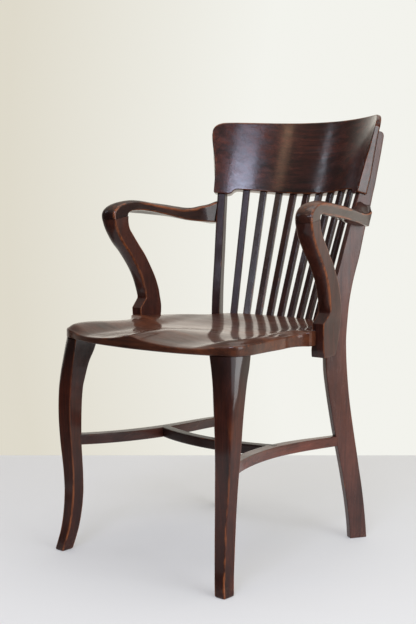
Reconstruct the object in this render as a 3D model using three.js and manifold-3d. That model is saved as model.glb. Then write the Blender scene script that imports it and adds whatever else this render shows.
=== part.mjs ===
// Captain's chair: saddled board seat, raked plank back posts, curved crest rail,
// nine flat slats, hooked arms, curved front legs and a bowed H stretcher.
// Millimetres, Z up, the chair faces -Y, X = 0 is the plane of symmetry.
import * as THREE from 'three';
import Module from 'manifold-3d';

const wasm = await Module();
wasm.setup();

// ------------------------------------------------------------ driving dimensions
const Y_MID = 299.674;        // half depth: the seat front and the top of the crest lie evenly about Y = 0
const GAP = 0.3;              // fitting gap round every tenon, housing and dowel

const SEAT_Z0 = 442.5;        // underside of the seat board
const SEAT_ROUND = 22;        // width over which the top rolls down to its edge
const SEAT_REAR_R = 299;      // radius of the rear edge about (0, 180)

const POST_T = 18;            // plank thickness of a back post
const POST_TURN = 30;         // degrees the plank is turned from fore-and-aft
const POST_X = 174.2, POST_Y = 441;   // front outer arris 600 above the floor

const SLAT_N = 9;
const SLAT_W = 15.8, SLAT_T = 9.5;
const SLAT_PITCH_SEAT = 27.8, SLAT_PITCH_CREST = 35.4;
const SLAT_R_SEAT = 275, SLAT_R_CREST = 270;   // plan radii of the slat fronts
const SLAT_Y_SEAT = 457.3, SLAT_Y_CREST = 556.5;
const SLAT_TENON = 14;

const STRETCH_H = 21, CROSS_T = 22;
const STRETCH_T_FRONT = 26, STRETCH_T_REAR = 19;   // a side stretcher narrows towards the post
const DOWEL_R = 4;

// ------------------------------------------------------------ colours
const WOOD = {
  seat: [0.165, 0.055, 0.036], leg: [0.13, 0.045, 0.032], post: [0.14, 0.05, 0.036],
  crest: [0.115, 0.04, 0.03], slat: [0.10, 0.04, 0.034], arm: [0.14, 0.05, 0.034],
  stretcher: [0.12, 0.042, 0.03], dowel: [0.42, 0.28, 0.16],
};

// ------------------------------------------------------------ small helpers
const RAD = Math.PI / 180;
const lerp = (a, b, t) => a + (b - a) * t;
const clamp = (x, a, b) => Math.min(b, Math.max(a, x));
const smooth = (a, b, x) => { const t = clamp((x - a) / (b - a), 0, 1); return t * t * (3 - 2 * t); };

// monotone cubic through a table of [x, y] rows
function curve(rows) {
  const n = rows.length, X = rows.map(r => r[0]), Y = rows.map(r => r[1]);
  const d = [], m = new Array(n);
  for (let i = 0; i < n - 1; i++) d.push((Y[i + 1] - Y[i]) / (X[i + 1] - X[i]));
  m[0] = d[0]; m[n - 1] = d[n - 2];
  for (let i = 1; i < n - 1; i++) {
    if (d[i - 1] * d[i] <= 0) m[i] = 0;
    else {
      const h0 = X[i] - X[i - 1], h1 = X[i + 1] - X[i], w1 = 2 * h1 + h0, w2 = h1 + 2 * h0;
      m[i] = (w1 + w2) / (w1 / d[i - 1] + w2 / d[i]);
    }
  }
  return x => {
    if (x <= X[0]) return Y[0] + m[0] * (x - X[0]);
    if (x >= X[n - 1]) return Y[n - 1] + m[n - 1] * (x - X[n - 1]);
    let i = 0;
    while (x > X[i + 1]) i++;
    const h = X[i + 1] - X[i], t = (x - X[i]) / h;
    return (1 + 2 * t) * (1 - t) ** 2 * Y[i] + t * (1 - t) ** 2 * h * m[i]
      + t * t * (3 - 2 * t) * Y[i + 1] + t * t * (t - 1) * h * m[i + 1];
  };
}

// closed solid from position list and triangle list, turned outward
function solid(verts, tris) {
  let vol = 0;
  for (const [a, b, c] of tris) {
    const p = verts[a], q = verts[b], r = verts[c];
    vol += p[0] * (q[1] * r[2] - q[2] * r[1]) - p[1] * (q[0] * r[2] - q[2] * r[0]) + p[2] * (q[0] * r[1] - q[1] * r[0]);
  }
  const idx = new Uint32Array(tris.length * 3);
  tris.forEach((t, i) => {
    idx[3 * i] = t[0];
    idx[3 * i + 1] = vol > 0 ? t[1] : t[2];
    idx[3 * i + 2] = vol > 0 ? t[2] : t[1];
  });
  const vp = new Float32Array(verts.length * 3);
  verts.forEach((v, i) => vp.set(v, 3 * i));
  return new wasm.Manifold(new wasm.Mesh({ numProp: 3, vertProperties: vp, triVerts: idx }));
}

// rings of equal count joined one after the other and capped at both ends
function loft(rings) {
  const n = rings[0].length, verts = [], tris = [];
  for (const r of rings) for (const p of r) verts.push(p);
  for (let k = 0; k < rings.length - 1; k++)
    for (let i = 0; i < n; i++) {
      const j = (i + 1) % n, a = k * n + i, b = k * n + j, c = a + n, d = b + n;
      tris.push([a, b, d], [a, d, c]);
    }
  for (const [k, flip] of [[0, true], [rings.length - 1, false]]) {
    const c = [0, 0, 0];
    for (const p of rings[k]) for (let q = 0; q < 3; q++) c[q] += p[q] / n;
    const ci = verts.push(c) - 1;
    for (let i = 0; i < n; i++) {
      const a = k * n + i, b = k * n + (i + 1) % n;
      tris.push(flip ? [b, a, ci] : [a, b, ci]);
    }
  }
  return solid(verts, tris);
}

// position-only solid of a three.js geometry
function fromGeometry(g) {
  const src = g.index ? g.toNonIndexed() : g;
  const pos = src.attributes.position, verts = [], tris = [], seen = new Map();
  const id = i => {
    const p = [pos.getX(i), pos.getY(i), pos.getZ(i)], k = p.map(v => Math.round(v * 1e4)).join();
    if (!seen.has(k)) seen.set(k, verts.push(p) - 1);
    return seen.get(k);
  };
  for (let i = 0; i < pos.count; i += 3) {
    const t = [id(i), id(i + 1), id(i + 2)];
    if (t[0] !== t[1] && t[1] !== t[2] && t[0] !== t[2]) tris.push(t);
  }
  return solid(verts, tris);
}

// cylinder of radius r from point a to point b
function rod(a, b, r, seg = 16) {
  const A = new THREE.Vector3(...a), B = new THREE.Vector3(...b), len = A.distanceTo(B);
  const g = new THREE.CylinderGeometry(r, r, len, seg);
  const dir = B.clone().sub(A).normalize();
  g.applyQuaternion(new THREE.Quaternion().setFromUnitVectors(new THREE.Vector3(0, 1, 0), dir));
  g.translate((a[0] + b[0]) / 2, (a[1] + b[1]) / 2, (a[2] + b[2]) / 2);
  return fromGeometry(g);
}

// box given by a centre, three unit axes and three half sizes
function block(c, ax, h) {
  const g = new THREE.BoxGeometry(2 * h[0], 2 * h[1], 2 * h[2]);
  const m = new THREE.Matrix4().makeBasis(...ax.map(v => new THREE.Vector3(...v)));
  m.setPosition(...c);
  g.applyMatrix4(m);
  return fromGeometry(g);
}

const mirror = pts => pts.map(r => r.map(([x, y, z]) => [-x, y, z]));

// ------------------------------------------------------------ seat
// half outline from the front centre round to the rear centre
const SEAT_OUT = [
  [0, -11], [22, -10.4], [45, -9], [66, -7.4], [85, -5.4], [110, -2], [130, 2], [153, 8], [172, 13.6], [190, 19.5], [208, 24.5],
  [221, 31], [230, 40.5], [234.5, 53], [235.8, 67], [235.4, 82], [233, 108], [230.8, 140], [229.6, 165],
  [227.9, 180], [226.3, 192], [225.4, 204], [225.8, 214], [227.7, 222], [231, 229.3], [235.6, 234.8], [242, 239.6], [243, 247],
  [240, 264], [234, 266], [233.8, 282], [233.8, 303], [233.6, 324], [228.7, 325], [216.5, 344], [205.6, 359.3], [190, 376], [171.5, 391], [160, 402], [149, 426],
];
for (let a = 27.5; a >= 0; a -= 5.5)
  SEAT_OUT.push([SEAT_REAR_R * Math.sin(a * RAD), 182 + SEAT_REAR_R * Math.cos(a * RAD)]);

// height of the upper arris: along the front by |x|, round the side and rear by y
const edgeFront = curve([[0, 468.6], [10, 467.4], [25, 463.4], [50, 459.3], [80, 456.4], [105, 454.5], [135, 453.7], [165, 454],
  [190, 456], [210, 457.8], [235, 460]]);
const edgeSide = curve([[48, 459.6], [80, 460.1], [110, 460.9], [140, 462.6], [170, 464.4], [200, 464.9], [218, 465.1], [228, 466.6], [235, 469],
  [240, 471.1], [248, 472], [262, 471], [300, 467.6], [360, 465.4], [400, 463.6], [430, 461], [460, 458.6], [482, 458]]);
const seatEdge = (x, y) => lerp(edgeFront(Math.abs(x)), edgeSide(Math.max(y, 48)), smooth(38, 58, y));

// height of the dished top by y: at the outer rim, along the middle, and in the two thigh hollows
const rimSide = curve([[-11, 467.5], [20, 469.6], [50, 471], [75, 471.6], [100, 471.2], [125, 470], [150, 468.4], [175, 467.2], [200, 466.4], [215, 466.6],
  [228, 468.6], [240, 472], [252, 472], [265, 470.6], [290, 468.9], [325, 468.4], [360, 469.2], [400, 470], [440, 469.6], [481, 467]]);
const rimMid = curve([[-11, 469], [5, 470], [20, 470.9], [48, 471.8], [76, 471.4], [118, 469.2], [165, 464.6], [205, 460.8], [240, 459], [280, 459.2],
  [330, 461.4], [380, 464.8], [420, 467.5], [445, 468.8], [465, 468.6], [481, 467.4]]);
const rimThigh = curve([[-11, 454.1], [10, 454.9], [40, 455.7], [80, 456.5], [120, 457.1], [160, 457.7], [200, 458.5], [240, 459.7], [280, 461.4],
  [320, 463.7], [360, 466.2], [400, 468.2], [440, 469.2], [481, 467.4]]);
const ridge = curve([[0, 0], [0.074, 0.08], [0.185, 0.35], [0.37, 0.62], [0.59, 0.82], [0.78, 0.946], [1, 1]]);

function seatField(x, y) {
  const ax = Math.abs(x), t = clamp(ax / 135, 0, 1);
  const s = lerp(ridge(t), t * t * (3 - 2 * t), smooth(-10, 170, y));
  return lerp(lerp(rimMid(y), rimThigh(y), s), rimSide(y), smooth(132, 214, ax));
}

function seatBody() {
  const half = SEAT_OUT, out = [];
  for (const p of half) out.push(p);
  for (let i = half.length - 2; i > 0; i--) out.push([-half[i][0], half[i][1]]);
  const n = out.length, C = [0, 235];
  const inset = d => out.map((p, i) => {
    const a = out[(i + n - 1) % n], b = out[(i + 1) % n];
    let tx = b[0] - a[0], ty = b[1] - a[1];
    const l = Math.hypot(tx, ty) || 1;
    tx /= l; ty /= l;
    let nx = -ty, ny = tx;
    if (nx * (C[0] - p[0]) + ny * (C[1] - p[1]) < 0) { nx = -nx; ny = -ny; }
    return [p[0] + nx * d, p[1] + ny * d];
  });
  const verts = [], rows = [];
  const edge = out.map(([x, y]) => seatEdge(x, y));
  const drop = out.map(([x, y], i) => seatField(x, y) - edge[i]);
  const row = (pts, zf) => { rows.push(verts.length); pts.forEach(([x, y], i) => verts.push([x, y, zf(x, y, i)])); };
  const topZ = (x, y, i) => {
    const d = Math.hypot(x - out[i][0], y - out[i][1]) / SEAT_ROUND;
    return seatField(x, y) - (d < 1 ? drop[i] * (1 - d) ** 2 : 0);
  };
  row(inset(2.5), () => SEAT_Z0);
  row(out, () => SEAT_Z0 + 2.5);
  row(out, (x, y, i) => edge[i] - 2.6);
  row(inset(0.8), (x, y, i) => edge[i] - 0.7);
  row(inset(2.8), (x, y, i) => topZ(x, y, i));
  const base = inset(2.8);
  for (const k of [0.965, 0.93, 0.885, 0.83, 0.76, 0.67, 0.56, 0.43, 0.29, 0.15])
    row(base.map(([x, y]) => [lerp(C[0], x, k), lerp(C[1], y, k)]), topZ);
  const tris = [];
  for (let r = 0; r < rows.length - 1; r++)
    for (let i = 0; i < n; i++) {
      const j = (i + 1) % n, a = rows[r] + i, b = rows[r] + j, c = rows[r + 1] + i, d = rows[r + 1] + j;
      tris.push([a, b, d], [a, d, c]);
    }
  const top = verts.push([C[0], C[1], seatField(C[0], C[1])]) - 1;
  const last = rows[rows.length - 1];
  for (let i = 0; i < n; i++) tris.push([last + i, last + (i + 1) % n, top]);
  const bot = verts.push([C[0], C[1], SEAT_Z0]) - 1;
  for (let i = 0; i < n; i++) tris.push([(i + 1) % n, i, bot]);
  return solid(verts, tris);
}

// ------------------------------------------------------------ back posts
const postFront = curve([[0, 31], [15, 29.9], [30, 28.7], [61, 24.9], [92, 20.3], [122, 14.9], [153, 9], [184, 2.6], [214, -3.7],
  [244, -10], [275, -15.7], [304, -20.8], [337, -26], [352, -28.2], [367, -29.8], [390, -30.9], [430, -31.4], [467, -31.6], [500, -27.2],
  [535, -18], [572, -6], [595, 0.5], [620, 7], [647, 14.5], [676, 22.5], [703, 30.5],
  [734, 39.5], [800, 58], [870, 77]]);
const postRear = curve([[0, 69.6], [15, 68.5], [30, 67.2], [61, 63.9], [92, 59.9], [122, 55.3], [153, 49.9], [184, 44.8], [214, 39.6],
  [244, 34.5], [275, 29.5], [307, 24.9], [337, 21.6], [367, 18.9], [401, 16.8], [430, 16], [451, 17], [477, 19], [508, 22], [550, 29.5], [578, 36.5], [607, 44.5], [640, 51.5],
  [670, 58], [715, 69.5], [734, 73.5], [755, 78.5], [786, 84.5], [822, 91.5], [851, 96.5], [872, 100]]);
const PD = [Math.sin(POST_TURN * RAD), Math.cos(POST_TURN * RAD)];   // plank direction
const PN = [PD[1], -PD[0]];                                        // outer face normal
const onPost = (s, n, z) => [POST_X + PD[0] * s + PN[0] * n, POST_Y + PD[1] * s + PN[1] * n, z];

function postRings(g, c) {
  const zs = [0, 40, 80, 120, 160, 200, 240, 280, 320, 355, 390, 420, 445, 470, 495, 520, 545, 572, 600, 640, 680, 715, 745, 775, 805, 832, 850];
  const rings = [];
  const ring = (f, r, z) => [onPost(f + c, g, z), onPost(r - c, g, z), onPost(r, g - c, z), onPost(r, -POST_T - g + c, z),
    onPost(r - c, -POST_T - g, z), onPost(f + c, -POST_T - g, z), onPost(f, -POST_T - g + c, z), onPost(f, g - c, z)];
  zs.forEach((z, i) => rings.push(ring(postFront(z) - g, postRear(z) + g, i === 0 ? z - g : z)));
  rings.push(ring(postFront(858) - g, postRear(856) - 1 + g, 858));
  rings.push(ring(postFront(864) - g, postRear(860) - 5 + g, 864));
  rings.push(ring(postFront(867) - g, postRear(861) - 10 + g, 867 + g));
  return rings;
}
const postBody = (side, g = 0, c = 1.5) => loft(side > 0 ? postRings(g, c) : mirror(postRings(g, c)));

// ------------------------------------------------------------ crest rail
const crestEnd = curve([[737, 196], [745, 197.3], [767, 200.1], [786.5, 202.7], [804, 205.6], [822, 209.9], [842, 215.2], [862, 220], [878, 222.9], [900, 225.5]]);
const crestTop = curve([[0, 898.2], [50, 898.6], [100, 900], [150, 901.8], [190, 902.8], [207, 902.2], [214, 900], [220, 895], [223.4, 887.5], [224.6, 879]]);
const crestThick = curve([[737, 22.5], [770, 22], [800, 19.5], [835, 15], [870, 11.6], [905, 10.8]]);
const crestBottom = curve([[0, 737], [50, 738.6], [98, 743], [140, 746.6], [156, 747.6], [161, 746], [164, 742.2], [167.5, 738.2], [172, 737.2], [190, 739.6], [197, 741]]);

function crestFace(x, z) {
  const k = (z - 745) / 155, R = 273 + 18 * k, ap = 550 + (z - 745) * 0.342;
  return [x, ap - R + Math.sqrt(R * R - x * x), z];
}
function crestNormal(x, z) {
  const e = 0.5, p = crestFace(x - e, z), q = crestFace(x + e, z), r = crestFace(x, z - e), s = crestFace(x, z + e);
  const u = [q[0] - p[0], q[1] - p[1], q[2] - p[2]], v = [s[0] - r[0], s[1] - r[1], s[2] - r[2]];
  let n = [u[1] * v[2] - u[2] * v[1], u[2] * v[0] - u[0] * v[2], u[0] * v[1] - u[1] * v[0]];
  const l = Math.hypot(...n) * (n[1] < 0 ? -1 : 1);
  return n.map(a => a / l);
}
function crestPoint(x, z, d) {
  const p = crestFace(x, z), n = crestNormal(x, z);
  return [p[0] + n[0] * d, p[1] + n[1] * d, p[2] + n[2] * d];
}
// stations run in the fraction u of the half width, so that the ends follow the flared outline
function crestRings(g) {
  const us = [-1, -0.992, -0.975, -0.945, -0.9, -0.86, -0.84, -0.82, -0.8, -0.77, -0.7, -0.6, -0.48, -0.36, -0.24, -0.12, 0];
  for (let i = us.length - 2; i >= 0; i--) us.push(-us[i]);
  return us.map(u => {
    const au = Math.abs(u), sg = u < 0 ? -1 : 1;
    const zb = crestBottom(au * 197) - g, zt = crestTop(au * 224.6) + g;
    const at = (w, d) => {
      const z = lerp(zb, zt, w), x = sg * (au * (crestEnd(z) + (g > 0 ? g : 0)) - 0.2 * d * smooth(0.88, 1, au));
      return crestPoint(x, z, d);
    };
    const h = zt - zb, c = 2.2 / h, ct = 3 / h;
    const ring = [], T = w => crestThick(lerp(zb, zt, w)) + g;
    ring.push(at(0, 2.2), at(c, 0));
    for (const w of [0.2, 0.4, 0.6, 0.8]) ring.push(at(w, 0));
    ring.push(at(1 - ct, 0), at(1, 2.6), at(1, T(1) - 4.2), at(1 - 1.6 * ct, T(1) - 0.8));
    for (const w of [0.8, 0.6, 0.4, 0.2]) ring.push(at(w, T(w)));
    ring.push(at(c, T(0)), at(0, T(0) - 2.2));
    return ring;
  });
}
const crestBody = (g = 0) => loft(crestRings(g));

// ------------------------------------------------------------ slats
function slatAxis(i) {
  const k = i - (SLAT_N - 1) / 2, xb = k * SLAT_PITCH_SEAT, xt = k * SLAT_PITCH_CREST;
  const yb = SLAT_Y_SEAT - SLAT_R_SEAT + Math.sqrt(SLAT_R_SEAT ** 2 - xb * xb);
  const yt = SLAT_Y_CREST - SLAT_R_CREST + Math.sqrt(SLAT_R_CREST ** 2 - xt * xt);
  const b = new THREE.Vector3(xb, yb, 462.5), t = new THREE.Vector3(xt, yt, 745);
  const ax = t.clone().sub(b).normalize();
  const phi = (Math.asin(xb / SLAT_R_SEAT) + Math.asin(xt / SLAT_R_CREST)) / 2;
  const n = new THREE.Vector3(Math.sin(phi), Math.cos(phi), 0);
  n.addScaledVector(ax, -n.dot(ax)).normalize();
  const w = new THREE.Vector3().crossVectors(n, ax).normalize();
  return { b, t, ax, n, w, yb };
}
function slatBody(i, g = 0) {
  const { b, t, ax, n, w } = slatAxis(i);
  const z0 = 462 - SLAT_TENON, z1 = crestBottom(Math.abs(t.x)) + SLAT_TENON;
  const hw = SLAT_W / 2 + g, c = 1.1, rings = [];
  for (const [z, e] of [[z0, -g], [600, 0], [z1, g]]) {
    const o = b.clone().addScaledVector(ax, (z - b.z) / ax.z + e);
    const P = (a, d) => { const q = o.clone().addScaledVector(w, a).addScaledVector(n, d); return [q.x, q.y, q.z]; };
    rings.push([P(-hw + c, -g), P(hw - c, -g), P(hw, c - g), P(hw, SLAT_T - c + g), P(hw - c, SLAT_T + g), P(-hw + c, SLAT_T + g), P(-hw, SLAT_T - c + g), P(-hw, c - g)]);
  }
  return loft(rings);
}

// ------------------------------------------------------------ arm supports and arm rests
const armIn = curve([[415, 227.4], [432, 229], [450, 231], [470, 232.6], [520, 234], [600, 238], [650, 240.5], [690, 241.5]]);
const armOut = curve([[415, 259.6], [470, 260], [520, 264], [600, 272], [650, 278.5], [690, 282]]);
const armSkew = curve([[415, 0.06], [560, 0.065], [640, 0.13], [690, 0.19]]);   // sideways run towards the rear
// front edge and rear edge of the support as pairs [y, z, y, z], floor side first
const SUPPORT = [
  [266.5, 418.6, 306, 420.5], [263.6, 432, 312.5, 435], [262, 455, 320, 457], [261.5, 474, 323.2, 476], [261.5, 485.5, 323.8, 488],
  [267, 491.6, 323.4, 494], [273.4, 498.6, 322.8, 500], [279.2, 505, 321.8, 506], [280.2, 510, 320.8, 512],
  [277.4, 524, 318, 527], [271, 547, 308.4, 553], [262, 568, 295, 578], [250, 588, 279, 603.5],
  [233.5, 611, 261.5, 625], [217, 630, 243.5, 648], [204, 650, 233, 662], [196.5, 665, 228.6, 677], [191.2, 681.6, 227.8, 688.4],
];
const supportSection = (s, g) => {
  const [yf, zf, yr, zr] = s, zm = (zf + zr) / 2, k = armSkew(zm);
  let dy = yr - yf, dz = zr - zf;
  const l = Math.hypot(dy, dz);
  dy /= l; dz /= l;
  const F = d => [yf + dy * (d - g), zf + dz * (d - g)], R = d => [yr + dy * (g - d), zr + dz * (g - d)];
  const X = (f, mm, p) => { const s = k * (p[0] - yf), a = armIn(zm) - g - s, b = armOut(zm) + g - s; return [lerp(a, b, f) + mm, ...p]; };
  const free = clamp((zm - 505) / 25, 0, 1), c = 1.3;
  return [X(0, 0, F(c)), X(0, c, F(0)), X(0.25, 0, F(-3 * free)), X(0.5, 0, F(-4 * free)), X(0.75, 0, F(-3 * free)), X(1, -c, F(0)), X(1, 0, F(c)),
    X(1, 0, R(c)), X(1, -c, R(0)), X(0.5, 0, R(-1.2 * free)), X(0, c, R(0)), X(0, 0, R(c))];
};
const supportRings = g => SUPPORT.map((s, i) => supportSection(i === 0 && g ? [s[0], s[1] - g, s[2], s[3] - g] : s, g));

// top edge and under edge of the rest as pairs [y, z, y, z], knuckle first
const REST = [
  [191, 682, 227.8, 688.8], [190.3, 689.5, 228.3, 691.6], [191.6, 696.3, 229.2, 694.2], [195.6, 702.6, 231, 696.4],
  [203.5, 709.2, 234, 698.4], [214.5, 714.4, 239, 700], [228, 717.6, 245.5, 701.1], [247, 719.2, 255, 701.6],
  [266, 718.2, 268, 701.4], [285, 715.6, 284, 699.8], [304, 712, 301, 697.4], [329, 708, 325, 692.8],
  [356, 704, 352, 687.6], [377, 701.2, 374, 682.8], [398, 700.7, 397, 678.4], [419, 702.8, 420, 675.8],
  [437, 707, 437.5, 674.4], [456, 712, 456, 673.2], [475, 719.2, 475, 672], [492, 720.6, 492, 671.2], [520, 722, 520, 670.5],
];
const restIn = curve([[170, 243.9], [190, 241.5], [260, 232.6], [330, 223], [380, 215.6], [410, 210.4], [430, 205.6], [448, 199.2], [465, 190.5], [520, 160]]);
const restOut = y => lerp(282, 221, (y - 190) / 292) + 0.005 * Math.max(0, y - 460) ** 2;
// how much the outer top and lower arrises lie above or below the inner ones
const restTopOut = curve([[190, 0], [247, -0.8], [266, -0.2], [285, 1.2], [304, 2.8], [329, 4.2], [356, 4.9], [377, 4.6], [398, 1.5], [419, -4.2], [437, -10.8],
  [456, -17], [466, -21], [475, -23], [485, -20.5], [492, -15.5], [500, -10], [520, 0]]);
const restLowOut = curve([[190, 0], [228, 0], [245, -2], [255, -5], [268, -6.2], [284, -5.6], [301, -4.8], [325, -2.5], [352, -0.2], [374, 1.7], [397, 3.1],
  [420, 2.2], [437, 0.6], [456, -1], [475, -2.6], [492, -3.7], [520, -4]]);
const restSection = s => {
  const [yt, zt, yu, zu] = s;
  let dy = yu - yt, dz = zu - zt;
  const l = Math.hypot(dy, dz);
  dy /= l; dz /= l;
  const k = l / 38, bulge = 4.2 * clamp(1.25 - 0.25 * k, 0.8, 1.1) * (1 - 0.6 * smooth(425, 465, yt)), c = 1.3;
  const T = d => [yt + dy * d, zt + dz * d], U = d => [yu - dy * d, zu - dz * d];
  const twist = 4 * smooth(405, 445, yt);        // the inner face leans out at its top beside the post
  const X = (f, p, low = 0) => [lerp(restIn(p[0]), restOut(p[0]), f) + (low ? 0 : twist * (1 - f)), p[0], p[1] + (low ? restLowOut(yu) : restTopOut(yt)) * smooth(0.2, 0.85, f)];
  const w = restOut(yt) - restIn(yt), cf = c / w;
  return [X(0, T(c)), X(cf, T(0)), X(0.25, T(-bulge * 0.75)), X(0.5, T(-bulge)), X(0.75, T(-bulge * 0.75)), X(1 - cf, T(0)), X(1, T(c)),
    X(1, U(c), 1), X(1 - cf, U(0), 1), X(0.5, U(-1.2), 1), X(cf, U(0), 1), X(0, U(c), 1)];
};

// ------------------------------------------------------------ front legs
const legXi = curve([[0, 206.8], [20, 203], [40, 198.8], [70, 194.9], [100, 192.5], [130, 191.4], [160, 191.4], [190, 192], [220, 193.4],
  [250, 194.6], [280, 195], [310, 194.6], [340, 193], [370, 190], [385, 188], [400, 185.9], [420, 182.6], [442.2, 178.6]]);
const legXo = curve([[0, 231.6], [20, 226.9], [40, 224], [70, 221.2], [100, 220], [130, 220.4], [160, 222.6], [190, 225.6], [220, 228.7],
  [250, 231], [280, 233], [310, 234.5], [340, 235.8], [370, 236.5], [385, 236], [400, 235.2], [420, 234.5], [442.2, 234.5]]);
const legYf = curve([[0, 0], [20, 3.8], [40, 8.6], [70, 13.1], [100, 16], [130, 17.7], [160, 18], [190, 17.3], [220, 15.9],
  [250, 14.5], [280, 13.4], [310, 12.9], [340, 13.2], [370, 14.1], [400, 15.4], [420, 16.2], [442.2, 16.5]]);
const legYr = curve([[0, 28.4], [20, 33.8], [40, 37.8], [70, 42.7], [100, 45.8], [130, 47.2], [160, 46.7], [190, 45.6], [220, 45.1],
  [250, 46.1], [280, 47.2], [310, 48.4], [340, 50.4], [355, 52.2], [370, 54.2], [385, 57.4], [400, 61.4], [420, 67.4], [442.2, 71]]);
const legR = curve([[0, 1.5], [130, 1.5], [190, 2], [250, 3.5], [280, 5.5], [310, 9], [340, 14], [355, 18], [370, 22], [385, 26], [400, 30], [420, 36], [442.2, 46]]);

// the inner rear corner runs on towards the back near the seat
const legFlare = curve([[345, 0], [360, 2], [373, 3], [386, 3.2], [396, 4], [411, 6.8], [429, 8.4], [442.2, 9.5]]);

function legRing(z, g = 0) {
  const xi = legXi(z) - g, xo = legXo(z) + g, yf = legYf(z) - g, yr = legYr(z) + g, c = 1.3, r = Math.max(legR(z) + g, c);
  const f = z > 345 ? legFlare(z) : 0;
  const ring = [[xi, yr + f - c, z], [xi, yf + c, z], [xi + c, yf, z]];
  for (let k = 0; k <= 5; k++) {
    const a = k / 5 * Math.PI / 2;
    ring.push([xo - r + r * Math.sin(a), yf + r - r * Math.cos(a), z]);
  }
  ring.push([xo, yr - c, z], [xo - c, yr, z], [lerp(xi, xo, 0.5), yr + 0.5 * f, z], [xi + c, yr + f, z]);
  return ring;
}
function legBody(g = 0) {
  const zs = [0, 12, 25, 40, 60, 80, 105, 130, 160, 190, 220, 250, 280, 310, 335, 360, 380, 400, 420, 442.2];
  return loft(zs.map((z, i) => legRing(z, g)));
}
const LEG_TENON = [205, 48];

// ------------------------------------------------------------ stretchers
const sideX = curve([[20, 225.1], [30, 219], [45, 210.7], [60, 203.1], [75, 196.3], [90, 190.1], [110, 182.8], [130, 176.6], [150, 171.2],
  [170, 166.5], [190, 162.7], [210, 159.6], [230, 157.3], [250, 155.9], [270, 155.3], [290, 155.3], [310, 155.9], [330,
  156.9], [350, 158.2], [370, 159.7], [390, 161.2], [410, 162.6], [430, 163.8], [445, 164.5], [470, 165.7]]);
const stretchZ = y => { const d = y - 230; return 234.6 - 0.0327 * d - 2.4e-5 * d * d - 1.91e-7 * d ** 3; };
const stretchT = y => lerp(STRETCH_T_FRONT, STRETCH_T_REAR, smooth(250, 440, y));
function sideRings(g, gz = g) {
  const ys = [32, 55, 85, 115, 150, 185, 215, 245, 275, 305, 335, 360, 385, 410, 435, 458];
  return ys.map(y => {
    const T = stretchT(y), x = sideX(y) - 0.4 * (T - 16.5), e = 0.5, tx = sideX(y + e) - sideX(y - e), l = Math.hypot(tx, 2 * e);
    const nx = 2 * e / l, ny = -tx / l, h = T / 2 + g, zt = stretchZ(y) + gz, zb = stretchZ(y) - STRETCH_H - gz, c = 1.4;
    const P = (a, z) => [x + nx * a, y + ny * a, z];
    return [P(h, zb + c), P(h, zt - c), P(h - c, zt), P(-h + c, zt), P(-h, zt - c), P(-h, zb + c), P(-h + c, zb), P(h - c, zb)];
  });
}
const crossY = x => 218.5 + 26 * (x / 140) ** 2;       // bowed towards the front
const CROSS_Z = 234.2;
function crossRings() {
  const xs = [-162, -140, -115, -90, -65, -40, -15, 15, 40, 65, 90, 115, 140, 162];
  return xs.map(x => {
    const y = crossY(x), k = 2 * 26 * x / 140 ** 2, l = Math.hypot(1, k), h = CROSS_T / 2, zt = CROSS_Z, zb = zt - STRETCH_H + 0.6, c = 1.4;
    const P = (a, z) => [x - k / l * a, y + a / l, z];
    return [P(h, zb + c), P(h, zt - c), P(h - c, zt), P(-h + c, zt), P(-h, zt - c), P(-h, zb + c), P(-h + c, zb), P(h - c, zb)];
  });
}

// ------------------------------------------------------------ solids
const flipX = m => {
  const mesh = m.getMesh(), v = new Float32Array(mesh.vertProperties), t = new Uint32Array(mesh.triVerts);
  for (let i = 0; i < v.length; i += 3) v[i] = -v[i];
  for (let i = 0; i < t.length; i += 3) { const s = t[i + 1]; t[i + 1] = t[i + 2]; t[i + 2] = s; }
  return new wasm.Manifold(new wasm.Mesh({ numProp: 3, vertProperties: v, triVerts: t }));
};
const sum = list => list.reduce((a, b) => a.add(b));

const made = new Map();       // name -> [manifold, slot]
const put = (name, body, slot) => made.set(name, [body, slot]);

// right-hand side (+X) pieces are built first and mirrored
const dowels = [];
const dowel = (name, a, b) => dowels.push([name, a, b]);
const bore = (a, b) => {
  const A = new THREE.Vector3(...a), B = new THREE.Vector3(...b), d = B.clone().sub(A).normalize().multiplyScalar(0.5);
  const p = A.clone().sub(d), q = B.clone().add(d);
  return rod([p.x, p.y, p.z], [q.x, q.y, q.z], DOWEL_R + GAP);
};

// front leg with a round tenon into the seat
const legPlain = legBody();
let leg = legPlain.add(rod([...LEG_TENON, 432], [...LEG_TENON, 453], 11, 24));
const legHole = rod([...LEG_TENON, 440], [...LEG_TENON, 453.4], 11 + GAP, 24);

// side stretcher: shoulders against leg and post, square tenons beyond
const sideRaw = loft(sideRings(0));
const legFat = legBody(GAP), postFat = postBody(1, GAP);
// everything behind the front face of the post, whatever its width
const postBehind = loft([150, 190, 215, 240, 270].map(z => [[-1, 40], [120, 40], [120, -60], [-1, -60]]
  .map(([s, n]) => onPost(s < 0 ? postFront(z) - GAP : s, n, z))));
let side = sideRaw.subtract(legFat).subtract(postBehind);
side = side.decompose().sort((a, b) => b.volume() - a.volume())[0];
const tenonAt = (y0, y1, g) => {
  const a = [sideX(y0), y0], b = [sideX(y1), y1];
  let t = [b[0] - a[0], b[1] - a[1]];
  const l = Math.hypot(...t);
  t = t.map(v => v / l);
  const zc = stretchZ((y0 + y1) / 2) - STRETCH_H / 2, c = [(a[0] + b[0]) / 2, (a[1] + b[1]) / 2, zc];
  return block(c, [[t[1], -t[0], 0], [t[0], t[1], 0], [0, 0, 1]], [4.5 + g, l / 2 + g, 7 + g]);
};
const FRONT_TEN = [30, 58];
const rearTenon = g => block(onPost(-1, -POST_T / 2, stretchZ(445) - STRETCH_H / 2), [[...PN, 0], [...PD, 0], [0, 0, -1]], [4 + g, 14 + g, 7 + g]);
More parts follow.
